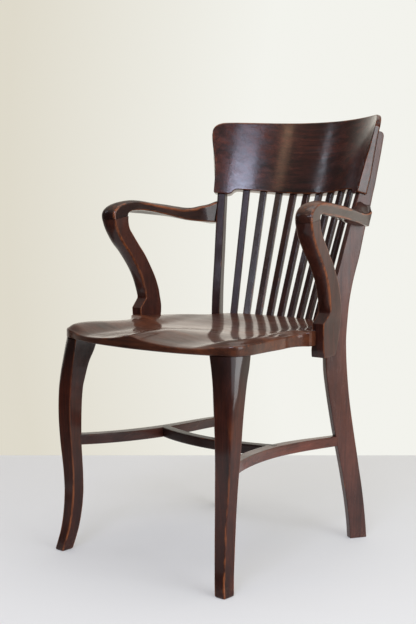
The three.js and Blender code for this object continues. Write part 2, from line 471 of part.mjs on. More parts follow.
side = side.add(tenonAt(...FRONT_TEN, 0)).add(rearTenon(0));
leg = leg.subtract(tenonAt(...FRONT_TEN, GAP));
// cross stretcher
const sideFat = loft(sideRings(GAP, 6));
let cross = loft(crossRings()).subtract(sideFat).subtract(flipX(sideFat));
cross = cross.decompose().sort((a, b) => b.volume() - a.volume())[0];
const tenDir = (() => { const k = 2 * 26 * 152 / 140 ** 2, l = Math.hypot(1, k); return [1 / l, k / l]; })();
const crossTen = g => block([147.5, crossY(147.5), CROSS_Z - STRETCH_H / 2], [[...tenDir, 0], [-tenDir[1], tenDir[0], 0], [0, 0, 1]], [13 + g, 4.5 + g, 6.5 + g]);
cross = cross.add(crossTen(0)).add(flipX(crossTen(0)));
side = side.subtract(crossTen(GAP));

// crest rail and slats
let crest = crestBody();
const crestFat = crestBody(GAP);
let post = postBody(1).subtract(crestFat).subtract(rearTenon(GAP));
post = post.decompose().sort((a, b) => b.volume() - a.volume())[0];
let seat = seatBody();
const slatFat = [];
for (let i = 0; i < SLAT_N; i++) {
  put('slat_' + (i + 1), slatBody(i), 'slat');
  slatFat.push(slatBody(i, GAP));
}
const slatsFat = sum(slatFat);
seat = seat.subtract(slatsFat);
crest = crest.subtract(slatsFat);

// seat housings for post, arm support and leg tenon
const supportFat = loft(supportRings(GAP));
for (const f of [postFat, supportFat, legHole]) seat = seat.subtract(f).subtract(flipX(f));
seat = seat.decompose().sort((a, b) => b.volume() - a.volume())[0];

// arm support, arm rest cut to the post face
let support = loft(supportRings(0));
let rest = loft(REST.map(restSection));
// the rear end is sawn square to the post and leans back towards its foot
const endN = new THREE.Vector3(PD[0], PD[1], -0.37).normalize(), endX = new THREE.Vector3(-PN[0], -PN[1], 0);
const endZ = new THREE.Vector3().crossVectors(endN, endX);
const endO = new THREE.Vector3(...onPost(57.5, 0, 690)).addScaledVector(endN, 60);
const endCut = block(endO.toArray(), [endN.toArray(), endX.toArray(), endZ.toArray()], [60, 120, 90]);
rest = rest.subtract(endCut).subtract(postFat);
const inside = block([...onPost(60, -POST_T / 2 - 60, 695)], [[PD[0], PD[1], 0], [-PN[0], -PN[1], 0], [0, 0, 1]], [90, 60 + POST_T / 2 - 1, 90]);
rest = rest.decompose().sort((a, b) => b.volume() - a.volume())[0].subtract(inside);
rest = rest.decompose().sort((a, b) => b.volume() - a.volume())[0];

// hidden dowels of the right-hand side
const mid = (a, b, t) => a.map((v, i) => lerp(v, b[i], t));
const KJ = SUPPORT[SUPPORT.length - 1];
const kn = [259, (KJ[0] + KJ[2]) / 2, (KJ[1] + KJ[3]) / 2 + 0.2];
dowel('knuckle_dowel', [kn[0], kn[1] + 2, kn[2] - 16], [kn[0], kn[1] - 2, kn[2] + 13]);
dowel('block_dowel_front', [212, 279, 455], [251, 279, 455]);
dowel('block_dowel_rear', [212, 304, 455], [251, 304, 455]);
const s0 = postFront(696) + 15;
dowel('arm_dowel', onPost(s0, 11, 696), onPost(s0, -12, 696));
dowel('seat_dowel', onPost(postFront(453) - 18, -POST_T / 2, 453), onPost(postFront(453) + 22, -POST_T / 2, 453));
for (const [nm, z, d, l] of [['crest_dowel_low', 775, 10, 20], ['crest_dowel_high', 822, 6, 17]]) {
  const a = crestPoint(186 + (z - 775) * 0.2, z, d), n = crestNormal(186 + (z - 775) * 0.2, z);
  dowel(nm, a, a.map((v, i) => v + n[i] * l));
}
const host = { knuckle_dowel: ['support', 'rest'], block_dowel_front: ['support', 'seat'], block_dowel_rear: ['support', 'seat'],
  arm_dowel: ['rest', 'post'], seat_dowel: ['post', 'seat'], crest_dowel_low: ['crest', 'post'], crest_dowel_high: ['crest', 'post'] };
const bodies = { support, rest, seat, post, crest };
for (const [name, a, b] of dowels) {
  const hole = bore(a, b);
  for (const h of host[name]) {
    bodies[h] = bodies[h].subtract(hole);
    if (h === 'seat' || h === 'crest') bodies[h] = bodies[h].subtract(flipX(hole));
  }
}

put('seat', bodies.seat, 'seat');
put('crest_rail', bodies.crest, 'crest');
for (const [nm, body, slot] of [['front_leg', leg, 'leg'], ['back_post', bodies.post, 'post'], ['arm_support', bodies.support, 'arm'],
  ['arm_rest', bodies.rest, 'arm'], ['side_stretcher', side, 'stretcher']]) {
  put(nm + '_left', body, slot);
  put(nm + '_right', flipX(body), slot);
}
put('cross_stretcher', cross, 'stretcher');
for (const [name, a, b] of dowels) {
  const r = rod(a, b, DOWEL_R);
  put(name + '_left', r, 'dowel');
  put(name + '_right', flipX(r), 'dowel');
}

// ------------------------------------------------------------ meshes
const rough = { seat: 0.22, leg: 0.38, post: 0.36, crest: 0.26, slat: 0.34, arm: 0.34, stretcher: 0.42, dowel: 0.7 };
const group = new THREE.Group();
for (const [name, [body, slot]] of made) {
  const m = body.getMesh(), src = m.vertProperties, np = m.numProp, count = src.length / np;
  const pos = new Float32Array(count * 3);
  for (let i = 0; i < count; i++) {
    pos[3 * i] = src[np * i];
    pos[3 * i + 1] = src[np * i + 1] - Y_MID;
    pos[3 * i + 2] = src[np * i + 2];
  }
  const g = new THREE.BufferGeometry();
  g.setAttribute('position', new THREE.BufferAttribute(pos, 3));
  g.setIndex(new THREE.BufferAttribute(new Uint32Array(m.triVerts), 1));
  const flat = g.toNonIndexed();
  flat.computeVertexNormals();
  const mesh = new THREE.Mesh(flat, new THREE.MeshStandardMaterial({
    color: new THREE.Color(...WOOD[slot]), roughness: rough[slot], metalness: 0 }));
  mesh.name = name;
  group.add(mesh);
}

export default group;
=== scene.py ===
import math

import bmesh
import bpy
from mathutils import Matrix, Vector


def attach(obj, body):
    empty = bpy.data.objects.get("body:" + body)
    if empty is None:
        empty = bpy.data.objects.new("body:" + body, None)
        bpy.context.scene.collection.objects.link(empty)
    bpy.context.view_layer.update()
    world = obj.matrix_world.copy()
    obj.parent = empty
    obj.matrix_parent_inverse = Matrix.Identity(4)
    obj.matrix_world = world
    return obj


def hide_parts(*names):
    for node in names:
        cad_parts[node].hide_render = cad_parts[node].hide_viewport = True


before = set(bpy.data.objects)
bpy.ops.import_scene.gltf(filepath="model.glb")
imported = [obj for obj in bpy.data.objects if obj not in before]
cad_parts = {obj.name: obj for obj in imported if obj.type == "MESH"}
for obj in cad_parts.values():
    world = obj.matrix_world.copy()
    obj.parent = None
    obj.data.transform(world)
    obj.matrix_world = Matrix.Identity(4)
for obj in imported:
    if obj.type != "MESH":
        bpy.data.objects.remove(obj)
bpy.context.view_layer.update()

# ------------------------------------------------------------ dimensions, millimetres
Y_MID = 299.674
SEAT_Z0, SEAT_ROUND, SEAT_REAR_R = 442.5, 22.0, 299.0
POST_T, POST_TURN, POST_X, POST_Y = 18.0, math.radians(30), 174.2, 441.0
SLAT_N, SLAT_W, SLAT_T = 9, 15.8, 9.5
SLAT_PITCH_SEAT, SLAT_PITCH_CREST = 27.8, 35.4
SLAT_R_SEAT, SLAT_R_CREST, SLAT_Y_SEAT, SLAT_Y_CREST = 275.0, 270.0, 457.3, 556.5
STRETCH_H, STRETCH_T, CROSS_T = 21.0, 16.5, 22.0


# ------------------------------------------------------------ small helpers
def lerp(a, b, t):
    return a + (b - a) * t


def clamp(x, a=0.0, b=1.0):
    return min(b, max(a, x))


def smooth(a, b, x):
    t = clamp((x - a) / (b - a))
    return t * t * (3 - 2 * t)


def curve(rows):
    """Monotone cubic through a table of (x, y) rows, straight beyond its ends."""
    n = len(rows)
    X = [float(r[0]) for r in rows]
    Y = [float(r[1]) for r in rows]
    d = [(Y[i + 1] - Y[i]) / (X[i + 1] - X[i]) for i in range(n - 1)]
    m = [d[0]] + [0.0] * (n - 2) + [d[-1]]
    for i in range(1, n - 1):
        if d[i - 1] * d[i] > 0:
            h0, h1 = X[i] - X[i - 1], X[i + 1] - X[i]
            w1, w2 = 2 * h1 + h0, h1 + 2 * h0
            m[i] = (w1 + w2) / (w1 / d[i - 1] + w2 / d[i])

    def f(x):
        if x <= X[0]:
            return Y[0] + m[0] * (x - X[0])
        if x >= X[-1]:
            return Y[-1] + m[-1] * (x - X[-1])
        i = 0
        while x > X[i + 1]:
            i += 1
        h = X[i + 1] - X[i]
        t = (x - X[i]) / h
        return ((1 + 2 * t) * (1 - t) ** 2 * Y[i] + t * (1 - t) ** 2 * h * m[i]
                + t * t * (3 - 2 * t) * Y[i + 1] + t * t * (t - 1) * h * m[i + 1])

    return f


def spline_rows(rows, steps):
    """Catmull-Rom through rows of numbers, with steps pieces between each two."""
    out = []
    n = len(rows)
    for i in range(n - 1):
        p0, p1, p2, p3 = rows[max(i - 1, 0)], rows[i], rows[i + 1], rows[min(i + 2, n - 1)]
        for k in range(steps):
            t = k / steps
            out.append([0.5 * (2 * b + (c - a) * t + (2 * a - 5 * b + 4 * c - d) * t * t + (3 * b - a - 3 * c + d) * t ** 3)
                        for a, b, c, d in zip(p0, p1, p2, p3)])
    out.append(list(rows[-1]))
    return out


def spread(stops, step):
    """Values from the first stop to the last, every stop kept and none further apart than step."""
    out = [stops[0]]
    for a, b in zip(stops, stops[1:]):
        k = max(1, math.ceil(abs(b - a) / step))
        out += [lerp(a, b, (i + 1) / k) for i in range(k)]
    return out


def section(a0, a1, b0, b1, radii, seg=4, guard=2.2, na=1, nb=1):
    """Rounded rectangle in (a, b), from corner (a0, b0) round by (a1, b0), (a1, b1), (a0, b1).
    Each point is (a, b, wear), with wear 1 on an arris and 0 on a flat. The count is the same whatever the sizes."""
    big = 0.49 * min(a1 - a0, b1 - b0)
    r = [min(x, 2 * big - 0.02) for x in radii]
    pts = []
    corners = [((a0, b0), (0, -1), (1, 0)), ((a1, b0), (1, 0), (0, 1)), ((a1, b1), (0, 1), (-1, 0)), ((a0, b1), (-1, 0), (0, -1))]
    # arcs start on the side that is being left and end on the side that follows
    arcs = []
    for k in range(4):
        ca = (a0 + r[k], a1 - r[k], a1 - r[k], a0 + r[k])[k]
        cb = (b0 + r[k], b0 + r[k], b1 - r[k], b1 - r[k])[k]
        start = (math.pi, -math.pi / 2, 0.0, math.pi / 2)[k]
        arcs.append([(ca + r[k] * math.cos(start + t * math.pi / 2 / seg), cb + r[k] * math.sin(start + t * math.pi / 2 / seg),
                      1.0 if 0 < t < seg else 0.62) for t in range(seg + 1)])
    # arcs run counterclockwise round the section, beginning at the corner (a0, b0)
    for k in range(4):
        pts += arcs[k]
        p, q = arcs[k][-1], arcs[(k + 1) % 4][0]
        L = math.hypot(q[0] - p[0], q[1] - p[1])
        g = min(guard, L * 0.24)
        n = na if k % 2 == 0 else nb
        stops = [g / L if L > 1e-6 else 0.3] + [lerp(g / L if L > 1e-6 else 0.3, 1 - (g / L if L > 1e-6 else 0.3), (i + 1) / (n + 1)) for i in range(n)] + [1 - (g / L if L > 1e-6 else 0.3)]
        for s in stops:
            pts.append((lerp(p[0], q[0], s), lerp(p[1], q[1], s), 0.0))
    return pts


def build(name, rings, slot, node, sharp=32.0, flip=False, cuts=(), caps=True):
    """Mesh of a run of rings of (x, y, z, wear) in millimetres, closed at both ends; mirrored about X = 0 when flip."""
    bm = bmesh.new()
    lay = bm.verts.layers.float.new("wear")
    sx = -1.0 if flip else 1.0
    rows = []
    for ring in rings:
        row = []
        for x, y, z, w in ring:
            v = bm.verts.new((sx * x * 1e-3, (y - Y_MID) * 1e-3, z * 1e-3))
            v[lay] = w
            row.append(v)
        rows.append(row)
    n = len(rows[0])
    for r0, r1 in zip(rows, rows[1:]):
        for i in range(n):
            j = (i + 1) % n
            bm.faces.new((r0[i], r0[j], r1[j], r1[i]))
    if caps:
        bm.faces.new(list(reversed(rows[0])))
        bm.faces.new(rows[-1])
    for co, no in cuts:
        co = Vector((sx * co[0] * 1e-3, (co[1] - Y_MID) * 1e-3, co[2] * 1e-3))
        no = Vector((sx * no[0], no[1], no[2]))
        geom = bm.verts[:] + bm.edges[:] + bm.faces[:]
        got = bmesh.ops.bisect_plane(bm, geom=geom, dist=1e-6, plane_co=co, plane_no=no, clear_outer=True)
        edges = [e for e in got["geom_cut"] if isinstance(e, bmesh.types.BMEdge)]
        bmesh.ops.contextual_create(bm, geom=edges)
    bmesh.ops.recalc_face_normals(bm, faces=bm.faces[:])
    return finish_mesh(bm, name, slot, node, sharp)


def finish_mesh(bm, name, slot, node, sharp=32.0):
    for f in bm.faces:
        f.smooth = True
    lim = math.radians(sharp)
    for e in bm.edges:
        if len(e.link_faces) == 2 and e.calc_face_angle(0.0) > lim:
            e.smooth = False
    me = bpy.data.meshes.new(name)
    bm.to_mesh(me)
    bm.free()
    ob = bpy.data.objects.new(name, me)
    bpy.context.scene.collection.objects.link(ob)
    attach(ob, "root")
    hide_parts(node)
    ob.data.materials.append(MATERIALS.get(name) or MATERIALS.get(name.replace("_left", "").replace("_right", ""), MATERIALS[slot]))
    return ob


# ------------------------------------------------------------ materials
class Graph:
    """Short way to lay out a material's nodes."""

    def __init__(self, mat):
        mat.use_nodes = True
        self.t = mat.node_tree
        self.t.nodes.clear()

    def add(self, kind, inputs=None, **props):
        nd = self.t.nodes.new(kind)
        for k, v in props.items():
            setattr(nd, k, v)
        for k, v in (inputs or {}).items():
            sock = nd.inputs[k]
            if isinstance(v, bpy.types.NodeSocket):
                self.t.links.new(v, sock)
            else:
                sock.default_value = v
        return nd

    def math(self, op, a, b=0.0, c=0.0, clampit=False):
        nd = self.t.nodes.new("ShaderNodeMath")
        nd.operation = op
        nd.use_clamp = clampit
        for i, v in enumerate((a, b, c)):
            if isinstance(v, bpy.types.NodeSocket):
                self.t.links.new(v, nd.inputs[i])
            else:
                nd.inputs[i].default_value = v
        return nd.outputs[0]

    def remap(self, v, a, b, c=0.0, d=1.0):
        nd = self.add("ShaderNodeMapRange", {"Value": v, "From Min": a, "From Max": b, "To Min": c, "To Max": d})
        nd.clamp = True
        return nd.outputs[0]

    def mix(self, f, a, b, mode="MIX"):
        nd = self.t.nodes.new("ShaderNodeMix")
        nd.data_type = "RGBA"
        nd.blend_type = mode
        nd.clamp_factor = True
        for i, v in ((0, f), (6, a), (7, b)):
            if isinstance(v, bpy.types.NodeSocket):
                self.t.links.new(v, nd.inputs[i])
            else:
                nd.inputs[i].default_value = v if i == 0 or len(v) == 4 else (*v, 1.0)
        return nd.outputs[2]

    def noise(self, vec, scale, detail=3.0, rough=0.55, distort=0.0, out="Fac"):
        nd = self.add("ShaderNodeTexNoise", {"Vector": vec, "Scale": scale, "Detail": detail, "Roughness": rough, "Distortion": distort})
        return nd.outputs[out]

    def mapping(self, vec, scale=(1, 1, 1), rot=(0, 0, 0), loc=(0, 0, 0)):
        nd = self.add("ShaderNodeMapping", {"Vector": vec, "Scale": scale, "Rotation": rot, "Location": loc})
        return nd.outputs[0]


def wood(name, grain=(0, 0, 0), dark=(0.010, 0.0034, 0.0028), mid=(0.034, 0.0105, 0.0078), red=(0.074, 0.0215, 0.0135),
         edge=(0.30, 0.085, 0.026), wear=0.6, rough=0.34, coat=0.9, coat_rough=0.10, bump=0.35, foot=0.0, seed=0.0, scuff=0.25, ripple=0.7, figure=1.0, head=0.0):
    """Stained, polished mahogany. grain is the Euler turn that lays the object's grain along local X."""
    mat = bpy.data.materials.new(name)
    g = Graph(mat)
    pos = g.add("ShaderNodeTexCoord").outputs["Object"]
    gv = g.mapping(pos, rot=grain, loc=(seed, seed * 0.7, seed * 1.3))
    # broad colour drift, bands of the board, ribbon figure, and fine pores
    drift = g.noise(g.mapping(gv, (2.2, 9, 9)), 1.0, 3, 0.6)
    bands = g.noise(g.mapping(gv, (3.0, 95, 95)), 1.0, 4, 0.65, 0.6)
    fine = g.noise(g.mapping(gv, (14, 520, 520)), 1.0, 3, 0.7)
    pores = g.noise(g.mapping(gv, (38, 1500, 1500)), 1.0, 2, 0.6)
    blot = g.noise(gv, 24.0, 4, 0.62)
    t = g.math("ADD", g.math("MULTIPLY", drift, 0.5), g.math("MULTIPLY", bands, 0.34 * figure))
    t = g.math("ADD", t, g.math("MULTIPLY", fine, 0.26 * figure))
    t = g.math("ADD", t, g.math("MULTIPLY", g.math("SUBTRACT", blot, 0.5), 0.22))
    mean = 0.25 + 0.30 * figure
    t = g.remap(t, mean - 0.19, mean + 0.21)
    ramp = g.add("ShaderNodeValToRGB", {"Fac": t})
    cr = ramp.color_ramp
    cr.elements[0].position, cr.elements[0].color = 0.08, (*dark, 1)
    cr.elements[1].position, cr.elements[1].color = 0.95, (*red, 1)
    e = cr.elements.new(0.5)
    e.color = (*mid, 1)
    col = ramp.outputs["Color"]
    pore = g.remap(pores, 0.58, 0.70)
    col = g.mix(g.math("MULTIPLY", pore, 0.45), col, dark)
    # darker towards the top of the leg, just under the seat
    if head > 0:
        zh = g.add("ShaderNodeSeparateXYZ", {"Vector": pos}).outputs["Z"]
        hf = g.remap(g.math("ADD", zh, g.math("MULTIPLY", g.math("SUBTRACT", blot, 0.5), 0.05)), 0.335, 0.415, 0.0, head)
        col = g.mix(hf, col, tuple(c * 0.6 for c in dark))
    # arrises rubbed back to bare, orange-brown wood
    at = g.add("ShaderNodeAttribute", attribute_name="wear")
    at.attribute_type = "GEOMETRY"
    w = at.outputs["Fac"]
    rub = g.noise(pos, 13.0, 5, 0.6)
    rub2 = g.noise(g.mapping(gv, (30, 260, 260)), 1.0, 3, 0.6)
    edge_f = g.math("MULTIPLY", w, g.remap(g.math("ADD", rub, g.math("MULTIPLY", g.math("SUBTRACT", rub2, 0.5), 0.5)), 0.62 - 0.34 * wear, 0.80 - 0.30 * wear))
    if head > 0:
        edge_f = g.math("MULTIPLY", edge_f, g.remap(zh, 0.10, 0.27, 1.0, 0.42))
    edge_f = g.remap(edge_f, 0.18, 0.92, 0.0, min(1.0, 0.35 + 0.6 * wear))
    edge_col = g.mix(g.remap(rub2, 0.35, 0.7), tuple(c * 0.45 for c in edge), edge)
    col = g.mix(edge_f, col, edge_col)
    # knocks
    vor = g.add("ShaderNodeTexVoronoi", {"Vector": g.mapping(gv, (26, 60, 60)), "Scale": 1.0, "Randomness": 1.0}, feature="F1")
    knock = g.math("MULTIPLY", g.remap(vor.outputs["Distance"], 0.07, 0.035), g.remap(g.noise(pos, 7.0, 2), 0.56, 0.66))
    col = g.mix(g.math("MULTIPLY", knock, 0.55 * scuff), col, (0.012, 0.006, 0.005))
    haze = g.noise(g.mapping(gv, (9, 38, 38)), 1.0, 6, 0.72, 0.4)
    rg = g.remap(haze, 0.35, 0.72, rough - 0.07, rough + 0.13)
    rg = g.math("ADD", rg, g.math("MULTIPLY", edge_f, 0.12))
    rg = g.math("ADD", rg, g.math("MULTIPLY", pore, 0.12))
    if foot > 0:
        z = g.add("ShaderNodeSeparateXYZ", {"Vector": pos}).outputs["Z"]
        low = g.remap(z, 0.0, 0.055, 1.0, 0.0)
        dust = g.math("MULTIPLY", g.math("MULTIPLY", low, low), g.remap(g.noise(pos, 210.0, 4, 0.7), 0.50, 0.68))
        col = g.mix(g.math("MULTIPLY", dust, foot), col, (0.22, 0.13, 0.085))
        rg = g.math("ADD", rg, g.math("MULTIPLY", g.math("MULTIPLY", low, 0.25), foot))
    hgt = g.math("ADD", g.math("MULTIPLY", fine, 0.35), g.math("MULTIPLY", pores, -0.25))
    hgt = g.math("ADD", hgt, g.math("MULTIPLY", knock, -1.1 * scuff))
    hgt = g.math("ADD", hgt, g.math("MULTIPLY", g.noise(g.mapping(gv, (0.5, 1, 1)), 30.0, 2, 0.5), ripple))
    bmp = g.add("ShaderNodeBump", {"Strength": bump, "Distance": 0.00035, "Height": hgt})
    b = g.add("ShaderNodeBsdfPrincipled", {"Base Color": col, "Roughness": rg, "Normal": bmp.outputs[0]})
    b.inputs["IOR"].default_value = 1.5
    b.inputs["Specular IOR Level"].default_value = 0.16
    b.inputs["Coat Weight"].default_value = coat
    patch = g.noise(g.mapping(gv, (14, 70, 70), loc=(3.1, 1.7, 0.4)), 1.0, 5, 0.65, 0.1)
    g.t.links.new(g.remap(patch, 0.36, 0.66, coat_rough * 0.72, coat_rough * 1.40), b.inputs["Coat Roughness"])
    if head > 0:          # thicker polish under the seat, thin and dull towards the foot
        cw = g.math("ADD", g.remap(zh, 0.03, 0.28, 0.40 * coat, coat), g.math("MULTIPLY", hf, 0.5 / head))
        g.t.links.new(cw, b.inputs["Coat Weight"])
    b.inputs["Coat IOR"].default_value = 1.52
    soft = g.add("ShaderNodeBump", {"Strength": bump * 0.55, "Distance": 0.00035, "Height": hgt})
    g.t.links.new(soft.outputs[0], b.inputs["Coat Normal"])
    g.t.links.new(b.outputs[0], g.add("ShaderNodeOutputMaterial").inputs["Surface"])
    return mat


HALF = math.pi / 2
MATERIALS = {
    "seat": wood("seat_polish", (0, 0, 0), dark=(0.022, 0.0070, 0.0042), mid=(0.074, 0.0225, 0.0108), red=(0.165, 0.0485, 0.0185), wear=0.45, rough=0.40, coat=0.62, coat_rough=0.095, bump=0.11, seed=0.31, ripple=0.22, scuff=0.12),
    "crest": wood("crest_polish", (0, 0, 0), dark=(0.008, 0.0026, 0.0022), mid=(0.040, 0.0088, 0.0062), red=(0.108, 0.0240, 0.0140), wear=0.8, rough=0.36, coat=1.0, coat_rough=0.17, bump=0.66, seed=1.7, figure=1.7, scuff=0.0, ripple=1.0),
    # painted shade: the far back post gets a darker copy of the post wood's colour, standing in for the shade it sits
    # in
    "post_right": wood("far_post_polish", (0, HALF, 0), mid=(0.030, 0.0100, 0.0080), red=(0.066, 0.0205, 0.0140), wear=0.4, rough=0.46, coat=0.10, coat_rough=0.16, foot=0.35, seed=3.3, scuff=0.5),
    # painted shade: the far side stretcher gets a darker copy of the stretcher wood's colour than the near one
    "stretcher_right": wood("far_stretcher_polish", (0, 0, HALF), mid=(0.040, 0.0120, 0.0090), red=(0.092, 0.0270, 0.0180), wear=0.35, rough=0.44, coat=0.45, coat_rough=0.20, seed=7.1, scuff=0.25),
    "slat": wood("slat_polish", (0, HALF, 0), mid=(0.024, 0.0072, 0.0058), red=(0.055, 0.0155, 0.0100), wear=0.35, rough=0.42, coat=0.8, coat_rough=0.17, seed=2.9, scuff=0.6),
    "back_slat_1": wood("slat_dull_polish", (0, HALF, 0), mid=(0.024, 0.0072, 0.0058), red=(0.055, 0.0155, 0.0100), wear=0.35, rough=0.46, coat=0.22, coat_rough=0.20, seed=2.3, scuff=0.3),
    "back_slat_2": wood("slat_clear_polish", (0, HALF, 0), mid=(0.024, 0.0072, 0.0058), red=(0.055, 0.0155, 0.0100), wear=0.35, rough=0.40, coat=1.0, coat_rough=0.27, seed=2.6, scuff=0.6),
    "post": wood("post_polish", (0, HALF, 0), mid=(0.070, 0.0200, 0.0135), red=(0.145, 0.043, 0.026), wear=0.4, rough=0.42, coat=0.70, coat_rough=0.22, foot=0.35, seed=4.4, scuff=0.5),
    "leg": wood("leg_polish", (0, HALF, 0), mid=(0.040, 0.0086, 0.0048), red=(0.106, 0.0222, 0.0098), wear=0.85, rough=0.38, coat=0.50, coat_rough=0.10, foot=0.30, seed=5.2, scuff=0.4, head=0.75),
    "arm": wood("arm_polish", (0, 0, HALF), mid=(0.029, 0.0095, 0.0064), red=(0.066, 0.0205, 0.0118), wear=0.88, rough=0.38, coat=0.56, coat_rough=0.12, seed=6.6, scuff=0.3),
    "stretcher": wood("stretcher_polish", (0, 0, HALF), mid=(0.112, 0.0280, 0.0190), red=(0.230, 0.060, 0.038), wear=0.35, rough=0.44, coat=0.55, coat_rough=0.20, seed=7.7, scuff=0.25),
    # painted shade: the cross stretcher under the seat gets a much darker copy of the stretcher wood's colour
    "stretcher_cross": wood("stretcher_cross_polish", (0, 0, 0), mid=(0.018, 0.0060, 0.0046), red=(0.036, 0.0115, 0.0080), wear=0.35, rough=0.44, coat=0.38, coat_rough=0.20, seed=8.1, scuff=0.25),
    "arm_post": wood("arm_post_polish", (0, HALF, 0), mid=(0.050, 0.0128, 0.0080), red=(0.106, 0.0275, 0.0150), wear=0.85, rough=0.40, coat=0.38, coat_rough=0.12, seed=9.3, scuff=0.3),
    "dowel": wood("dowel_beech", (0, 0, 0), dark=(0.22, 0.13, 0.07), mid=(0.36, 0.23, 0.13), red=(0.46, 0.31, 0.18), edge=(0.5, 0.35, 0.2), wear=0.0, rough=0.6, coat=0.0, bump=0.3),
}
MATERIALS["back_slat_3"] = MATERIALS["back_slat_2"]

# ------------------------------------------------------------ back posts
post_front = curve([(0, 31), (15, 29.9), (30, 28.7), (61, 24.9), (92, 20.3), (122, 14.9), (153, 9), (184, 2.6), (214, -3.7),
                    (244, -10), (275, -15.7), (304, -20.8), (337, -26), (352, -28.2), (367, -29.8), (390, -30.9), (430, -31.4), (467, -31.6), (500, -27.2),
                    (535, -18), (572, -6), (595, 0.5), (620, 7), (647, 14.5), (676, 22.5), (703, 30.5),
                    (734, 39.5), (800, 58), (870, 77)])
post_rear = curve([(0, 69.6), (15, 68.5), (30, 67.2), (61, 63.9), (92, 59.9), (122, 55.3), (153, 49.9), (184, 44.8), (214, 39.6),
                   (244, 34.5), (275, 29.5), (307, 24.9), (337, 21.6), (367, 18.9), (401, 16.8), (430, 16), (451, 17), (477, 19), (508, 22), (550, 29.5), (578, 36.5), (607, 44.5), (640, 51.5),
                   (670, 58), (715, 69.5), (734, 73.5), (755, 78.5), (786, 84.5), (822, 91.5), (851, 96.5), (872, 100)])
PD = (math.sin(POST_TURN), math.cos(POST_TURN))
PN = (PD[1], -PD[0])


def on_post(s, n, z):
    return (POST_X + PD[0] * s + PN[0] * n, POST_Y + PD[1] * s + PN[1] * n, z)


def post_rings():
    zs = [(0.0, 1.4), (0.5, 0.5), (1.6, 0.0)] + [(z, 0.0) for z in spread([6, 60, 420, 560, 852], 9.0)]
    top, R = 867.0, 12.0
    for k in range(1, 9):
        a = k / 8 * math.pi / 2
        zs.append((top - 1.6 - (R - 1.6) * (1 - math.sin(a)), 0.0))
    zs += [(top - 0.6, 0.55), (top, 1.7)]
    rings = []
    for z, inset in zs:
        f, r = post_front(z), post_rear(z)
        if z > top - R:
            d = z - (top - R)
            r -= R - math.sqrt(max(R * R - d * d, 0.0))
        r = max(r, f + 8)
        sec = section(f + inset, r - inset, -POST_T + inset, -inset, [max(c - inset, 0.4) for c in (1.6, 2.0, 2.4, 1.6)], na=2)
        rings.append([(*on_post(a, b, z), w) for a, b, w in sec])
    return rings


# ------------------------------------------------------------ crest rail
crest_end = curve([(737, 196), (745, 197.3), (767, 200.1), (786.5, 202.7), (804, 205.6), (822, 209.9), (842, 215.2), (862, 220), (878, 222.9), (900, 225.5)])
crest_top = curve([(0, 898.2), (50, 898.6), (100, 900), (150, 901.8), (190, 902.8), (207, 902.2), (214, 900), (220, 895), (223.4, 887.5), (224.6, 879)])
crest_thick = curve([(737, 22.5), (770, 22), (800, 19.5), (835, 15), (870, 11.6), (905, 10.8)])
crest_bottom = curve([(0, 737), (50, 738.6), (98, 743), (140, 746.6), (156, 747.6), (161, 746), (164, 742.2), (167.5, 738.2), (172, 737.2), (190, 739.6), (197, 741)])


def crest_face(x, z):
    k = (z - 745) / 155
    R, ap = 273 + 18 * k, 550 + (z - 745) * 0.342
    return Vector((x, ap - R + math.sqrt(R * R - x * x), z))


def crest_point(x, z, d):
    e = 0.5
    u = crest_face(x + e, z) - crest_face(x - e, z)
    v = crest_face(x, z + e) - crest_face(x, z - e)
    n = u.cross(v).normalized()
    if n.y < 0:
        n = -n
    return crest_face(x, z) + n * d


def crest_rings():
    half = spread([0, 0.76, 0.80, 0.865, 0.90], 0.022) + [0.915, 0.93, 0.944, 0.957, 0.968, 0.977, 0.984, 0.990, 0.994, 0.997]
    us = [(-u, 0.0, 0.0) for u in reversed(half[1:])] + [(u, 0.0, 0.0) for u in half]
    # fraction of the half length, inset of the outline, and how far the end is drawn in
    ends = [(1.0, 0.0, 3.0), (1.0, 0.35, 1.5), (1.0, 1.0, 0.5), (1.0, 2.0, 0.0), (1.0, 3.4, 0.0)]
    stations = [(-u, i, s) for u, i, s in reversed(ends)] + us + ends
    rings = []
    for u, inset, back in stations:
        au, sg = abs(u), -1 if u < 0 else 1
        zb, zt = crest_bottom(au * 197) + inset, crest_top(au * 224.6) - inset
        h = zt - zb
        cut = 1.6 * (1 - smooth(0.1, 0.6, au))
        T0, T1 = crest_thick(zb) - cut, crest_thick(zt) - cut
        rf, rr, tf, tr = (max(c - inset, 0.35) for c in (1.8, 1.8, 2.6, 3.6))
        pts = []
        seg = 4
        for k in range(seg + 1):          # lower front arris
            a = k / seg * HALF
            pts.append((rf - rf * math.cos(a), inset + rf - rf * math.sin(a), 1.0 if 0 < k < seg else 0.6))
        nf = 16
        z0, z1 = rf + 2.0, h - tf - 2.4
        for k in range(nf + 1):
            pts.append((lerp(z0, z1, k / nf), inset, 0.0))
        for k in range(seg + 1):          # upper front arris
            a = k / seg * HALF
            pts.append((h - tf + tf * math.sin(a), inset + tf - tf * math.cos(a), 1.0 if 0 < k < seg else 0.6))
        for k in range(seg + 1):          # upper rear arris
            a = k / seg * HALF
            pts.append((h - tr + tr * math.cos(a), T1 - inset - tr + tr * math.sin(a), 1.0 if 0 < k < seg else 0.6))
        for k in range(nf + 1):
            zz = lerp(h - tr - 2.4, rr + 2.0, k / nf)
            pts.append((zz, crest_thick(zb + zz) - cut - inset, 0.0))
        for k in range(seg + 1):          # lower rear arris
            a = k / seg * HALF
            pts.append((rr - rr * math.sin(a), T0 - inset - rr + rr * math.cos(a), 1.0 if 0 < k < seg else 0.6))
        ring = []
        for zz, d, w in pts:
            z = zb + zz
            x = sg * (au * crest_end(z) - 0.2 * d * smooth(0.88, 1.0, au) - back)
            if au == 1.0:
                w = 0.0 if inset > 3 else max(w, 0.8)
            ring.append((*crest_point(x, z, d), w))
        rings.append(ring)
    return rings


